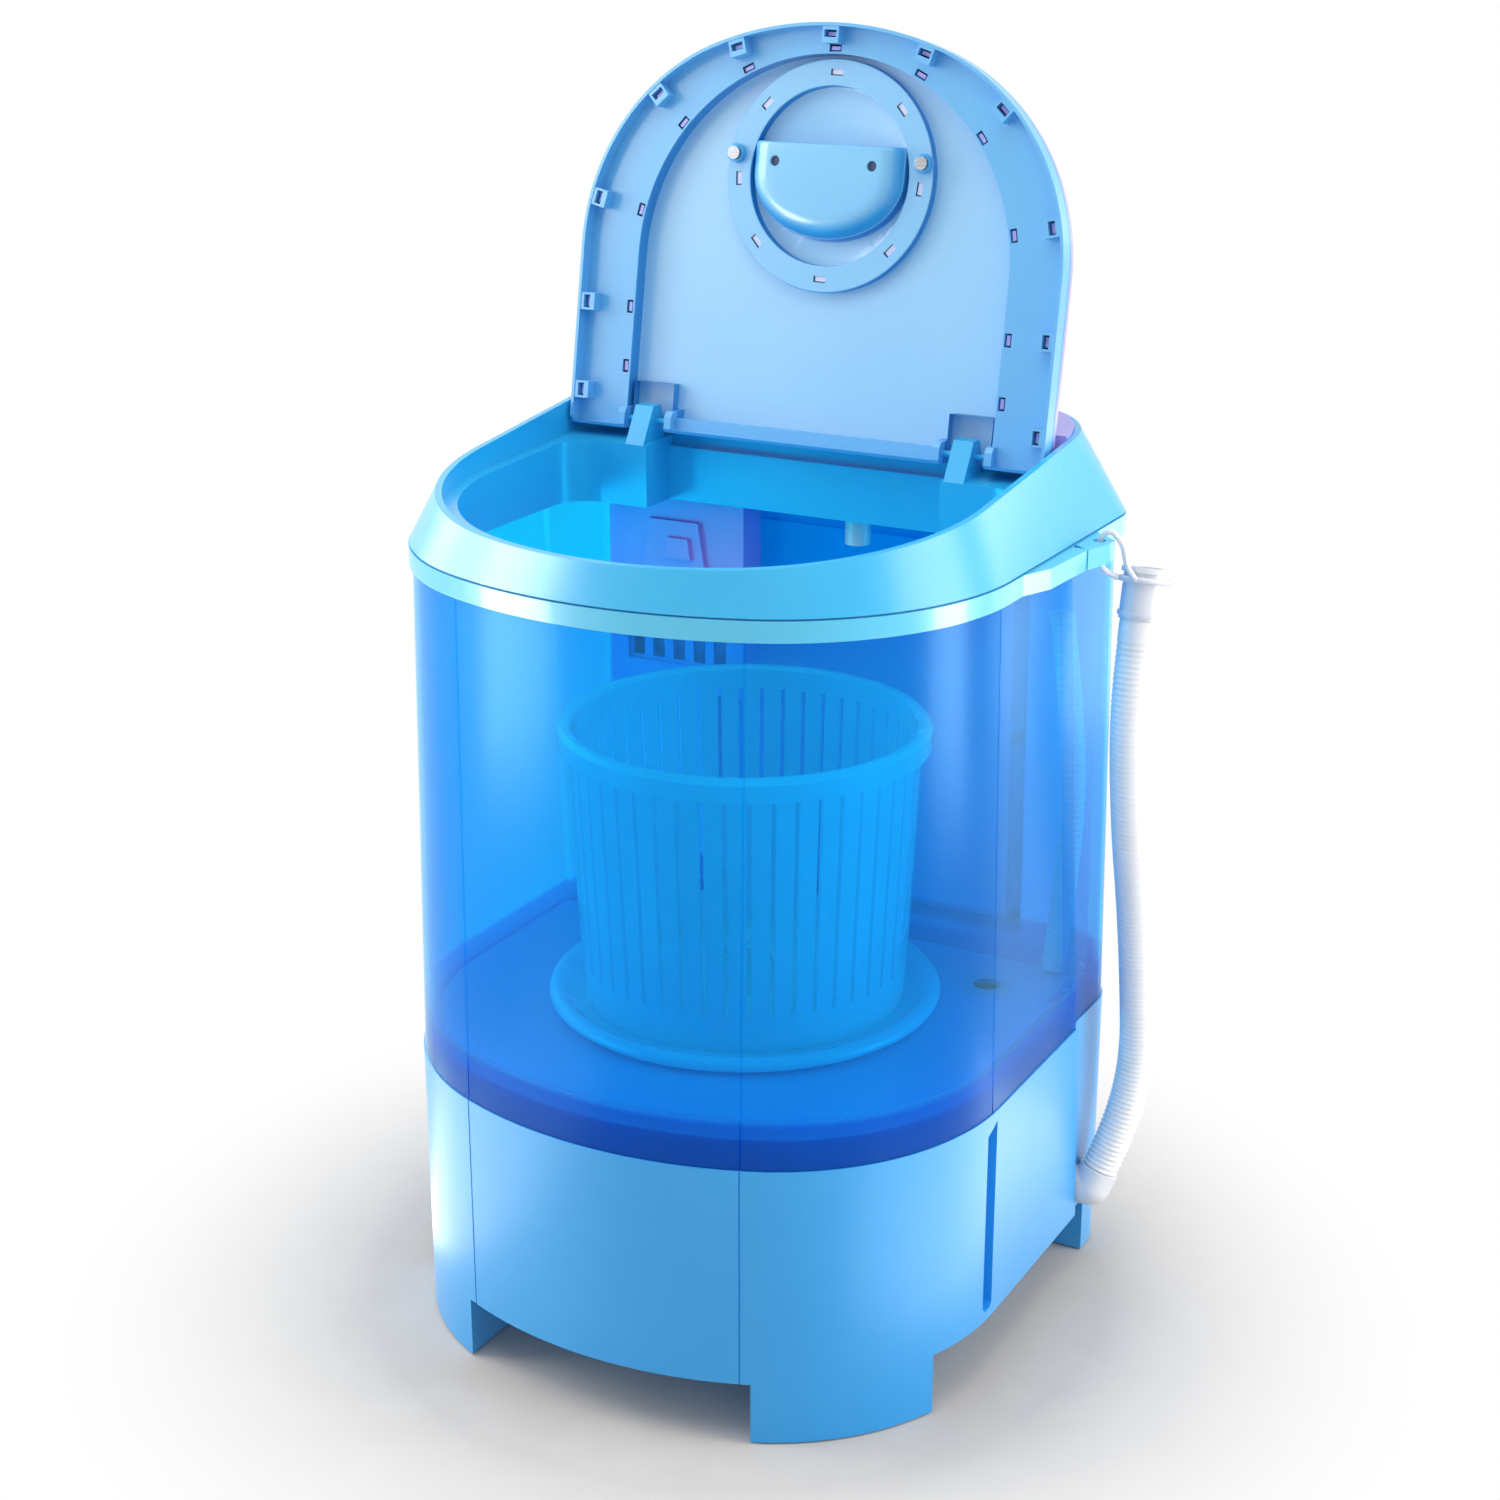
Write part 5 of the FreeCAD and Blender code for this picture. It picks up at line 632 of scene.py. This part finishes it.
# a pale clip in each slot
tabs = [ring_window(angle, 6.8, 3.0, 13.7, shift=0.2) for angle in SLOT_ANGLES]
clips = sheet_piece("grip_clips", [on_lid(*p) for tab in tabs for p in tab],
                    [tuple(range(4 * k, 4 * k + 4)) for k in range(len(tabs))], CLIP)
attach(clips, "lid")

# dark discs at the bottoms of the two holes in the hand cup: painted shade, closing holes that
# would otherwise show through
for side, sign in SIDES:
    ring = [on_lid(*p) for p in round_rings(HOLE_X * sign, HOLE_Y, [(2.9, 6.2)], 24)[0]]
    plug = sheet_piece("cup_hole_shade_" + side, ring, [tuple(range(24))], HOLE_SHADE)
    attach(plug, "lid")

# ------------------------------------------------------- cabinet and drum

# plugs in the collar's two side holes, where the hinge pins are pushed in; the wall is
# WALL_X mm out there, and further by WALL_BACK and WALL_UP for each mm back and up
PIN_Y, PIN_Z = 77.73, 503.33
PLUG_RADIUS, PLUG_INNER_X = 2.3, 153.6
WALL_X, WALL_BACK, WALL_UP = 159.8, 0.03, -0.318
for side, sign in SIDES:
    around = [(PLUG_RADIUS * math.cos(t), PLUG_RADIUS * math.sin(t))
              for t in (TURN * k / 32 for k in range(32))]
    inner_end = [(sign * PLUG_INNER_X * MM, (PIN_Y + y) * MM, (PIN_Z + z) * MM)
                 for y, z in around]
    outer_end = [(sign * (WALL_X + WALL_BACK * y + WALL_UP * z) * MM, (PIN_Y + y) * MM,
                  (PIN_Z + z) * MM) for y, z in around]
    plug = sheet_piece("pin_plug_" + side, inner_end + outer_end,
                       [tuple(range(32)), tuple(range(63, 31, -1))]
                       + [(k, k + 32, (k + 1) % 32 + 32, (k + 1) % 32) for k in range(32)],
                       COLLAR)
    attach(plug, "cabinet")

# the turntable under the basket, with its rounded lip
DISC = [(0.0074, 0.1876), (0.110, 0.1876), (0.1125, 0.1879), (0.1142, 0.1889), (0.115, 0.1903),
        (0.1148, 0.1920), (0.1139, 0.1935), (0.1124, 0.1946), (0.1104, 0.1952),
        (0.1082, 0.1951), (0.1062, 0.1944), (0.1046, 0.1932), (0.1034, 0.1919),
        (0.1018, 0.1911), (0.0996, 0.1909), (0.0974, 0.1909), (0.0955, 0.1909),
        (0.05, 0.1909), (0.0074, 0.1909)]
DRUM_CENTRE = (0.0, 0.008)
turntable = lathe("turntable", DISC, DRUM_CENTRE, 128, BASKET)
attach(turntable, "drum")
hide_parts("pulsator")

# the ribbed overflow tube inside the tub's rear corner
INNER = [(0.1488, 0.1215, 0.1868), (0.1500, 0.1215, 0.2030), (0.1545, 0.1215, 0.2490),
         (0.1572, 0.1215, 0.2960), (0.1540, 0.1215, 0.3450), (0.1490, 0.1215, 0.3820),
         (0.1455, 0.1215, 0.4080)]
inner, _ = tube("overflow_tube", spline_points(INNER),
                lambda s, total: ribbed(0.0073, 0.0007, 0.004, s), 0.0007, 32, 0.006,
                HOSE_PLASTIC)
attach(inner, "cabinet")

# ----------------------------------------------------- stage and lighting

PURE_WHITE = (1, 1, 1, 1)
SKY, SKY_STRENGTH = (0.98, 0.99, 1.0, 1), 0.58

bpy.ops.mesh.primitive_circle_add(vertices=128, radius=6, fill_type="NGON")
floor = bpy.context.object
floor.name = "floor"

# the floor takes shadows near the part, where its colour is also darker, a painted shade, and
# turns plain white further out
g = Graph("floor_white")
xyz = g.axes()
reach = g.math("SQRT", g.math("ADD", g.math("POWER", xyz[0], 2), g.math("POWER", xyz[1], 2)))
fade = g.ramp(reach, 0.22, 0.42)
rays = g.add("ShaderNodeLightPath").outputs
plain = g.math("MAXIMUM", rays["Is Camera Ray"], rays["Is Transmission Ray"])
seen = g.math("MAXIMUM", g.math("MULTIPLY", g.math("POWER", fade, 0.5), plain),
              g.math("MULTIPLY", rays["Is Glossy Ray"], g.ramp(reach, 0.16, 0.3, 0.15, 0.9)))
# painted shade: the floor is darker near the part, deepening its shadow
near = g.mix(g.ramp(g.noise(30), 0.3, 0.7), (0.64, 0.6, 0.56, 1), (0.62, 0.58, 0.54, 1))
matt = g.shader("ShaderNodeBsdfDiffuse",
                g.mix(g.ramp(reach, 0.3, 1.2), near, (0.9, 0.9, 0.9, 1)))
glow = g.shader("ShaderNodeEmission", PURE_WHITE)
floor.data.materials.append(g.finish(g.blend(seen, matt, glow)))

# the world is white where it is seen or mirrored, and dimmer as a light
g = Graph("world", world=True)
rays = g.add("ShaderNodeLightPath").outputs
seen = g.math("MAXIMUM", g.math("MAXIMUM", rays["Is Camera Ray"], rays["Is Glossy Ray"]),
              rays["Is Transmission Ray"])
soft = g.shader("ShaderNodeBackground", SKY, Strength=SKY_STRENGTH)
white = g.shader("ShaderNodeBackground", PURE_WHITE, Strength=1.0)
scene.world = g.finish(g.blend(seen, soft, white))


def softbox(name, place, aim, width, height, watts):
    """A rectangular lamp."""
    data = bpy.data.lights.new(name, "AREA")
    data.shape = "RECTANGLE"
    data.size = width
    data.size_y = height
    data.energy = watts
    lamp = add_object(name, data)
    lamp.location = place
    lamp.rotation_euler = facing(Vector(aim) - Vector(place))
    return lamp


def card(name, place, aim, width, height, brightness):
    """A reflector that only shows in gloss."""
    lamp = softbox(name, place, aim, width, height, brightness * math.pi * width * height)
    lamp.visible_camera = False
    lamp.visible_diffuse = False
    lamp.visible_transmission = False


MIDDLE = (0, 0, 0.3)
softbox("left_box", (-2.0, -0.6, 1.0), MIDDLE, 1.2, 1.8, 33)
softbox("right_box", (2.0, 0.5, 1.0), MIDDLE, 1.2, 1.8, 30)
softbox("top_box", (0.0, -0.4, 2.6), MIDDLE, 2.0, 2.0, 22)
card("high_left_card", (-1.6, 0.5, 1.2), (0, 0, 0.5), 1.3, 1.0, 6)
card("collar_left_card", (-0.95, -0.77, 0.98), (0, -0.1, 0.48), 0.5, 0.45, 10)
card("collar_right_card", (0.73, 1.03, 0.75), (0.16, 0, 0.48), 0.5, 0.3, 3)
card("tub_left_card", (-0.68, -0.64, 0.3), (0, -0.16, 0.32), 0.38, 0.36, 15)
card("tub_right_card", (0.87, 0.2, 0.3), (0.16, -0.06, 0.36), 0.28, 0.36, 14)
card("side_card", (0.6, 1.1, 0.16), (0.17, 0.1, 0.3), 0.9, 0.3, 1.5)
card("base_left_card", (-0.33, -0.33, 0.003), (-0.33, -0.3299, 1), 0.26, 0.6, 2.4)
card("base_right_card", (0.37, 0.05, 0.003), (0.37, 0.0501, 1), 0.22, 0.5, 2.5)
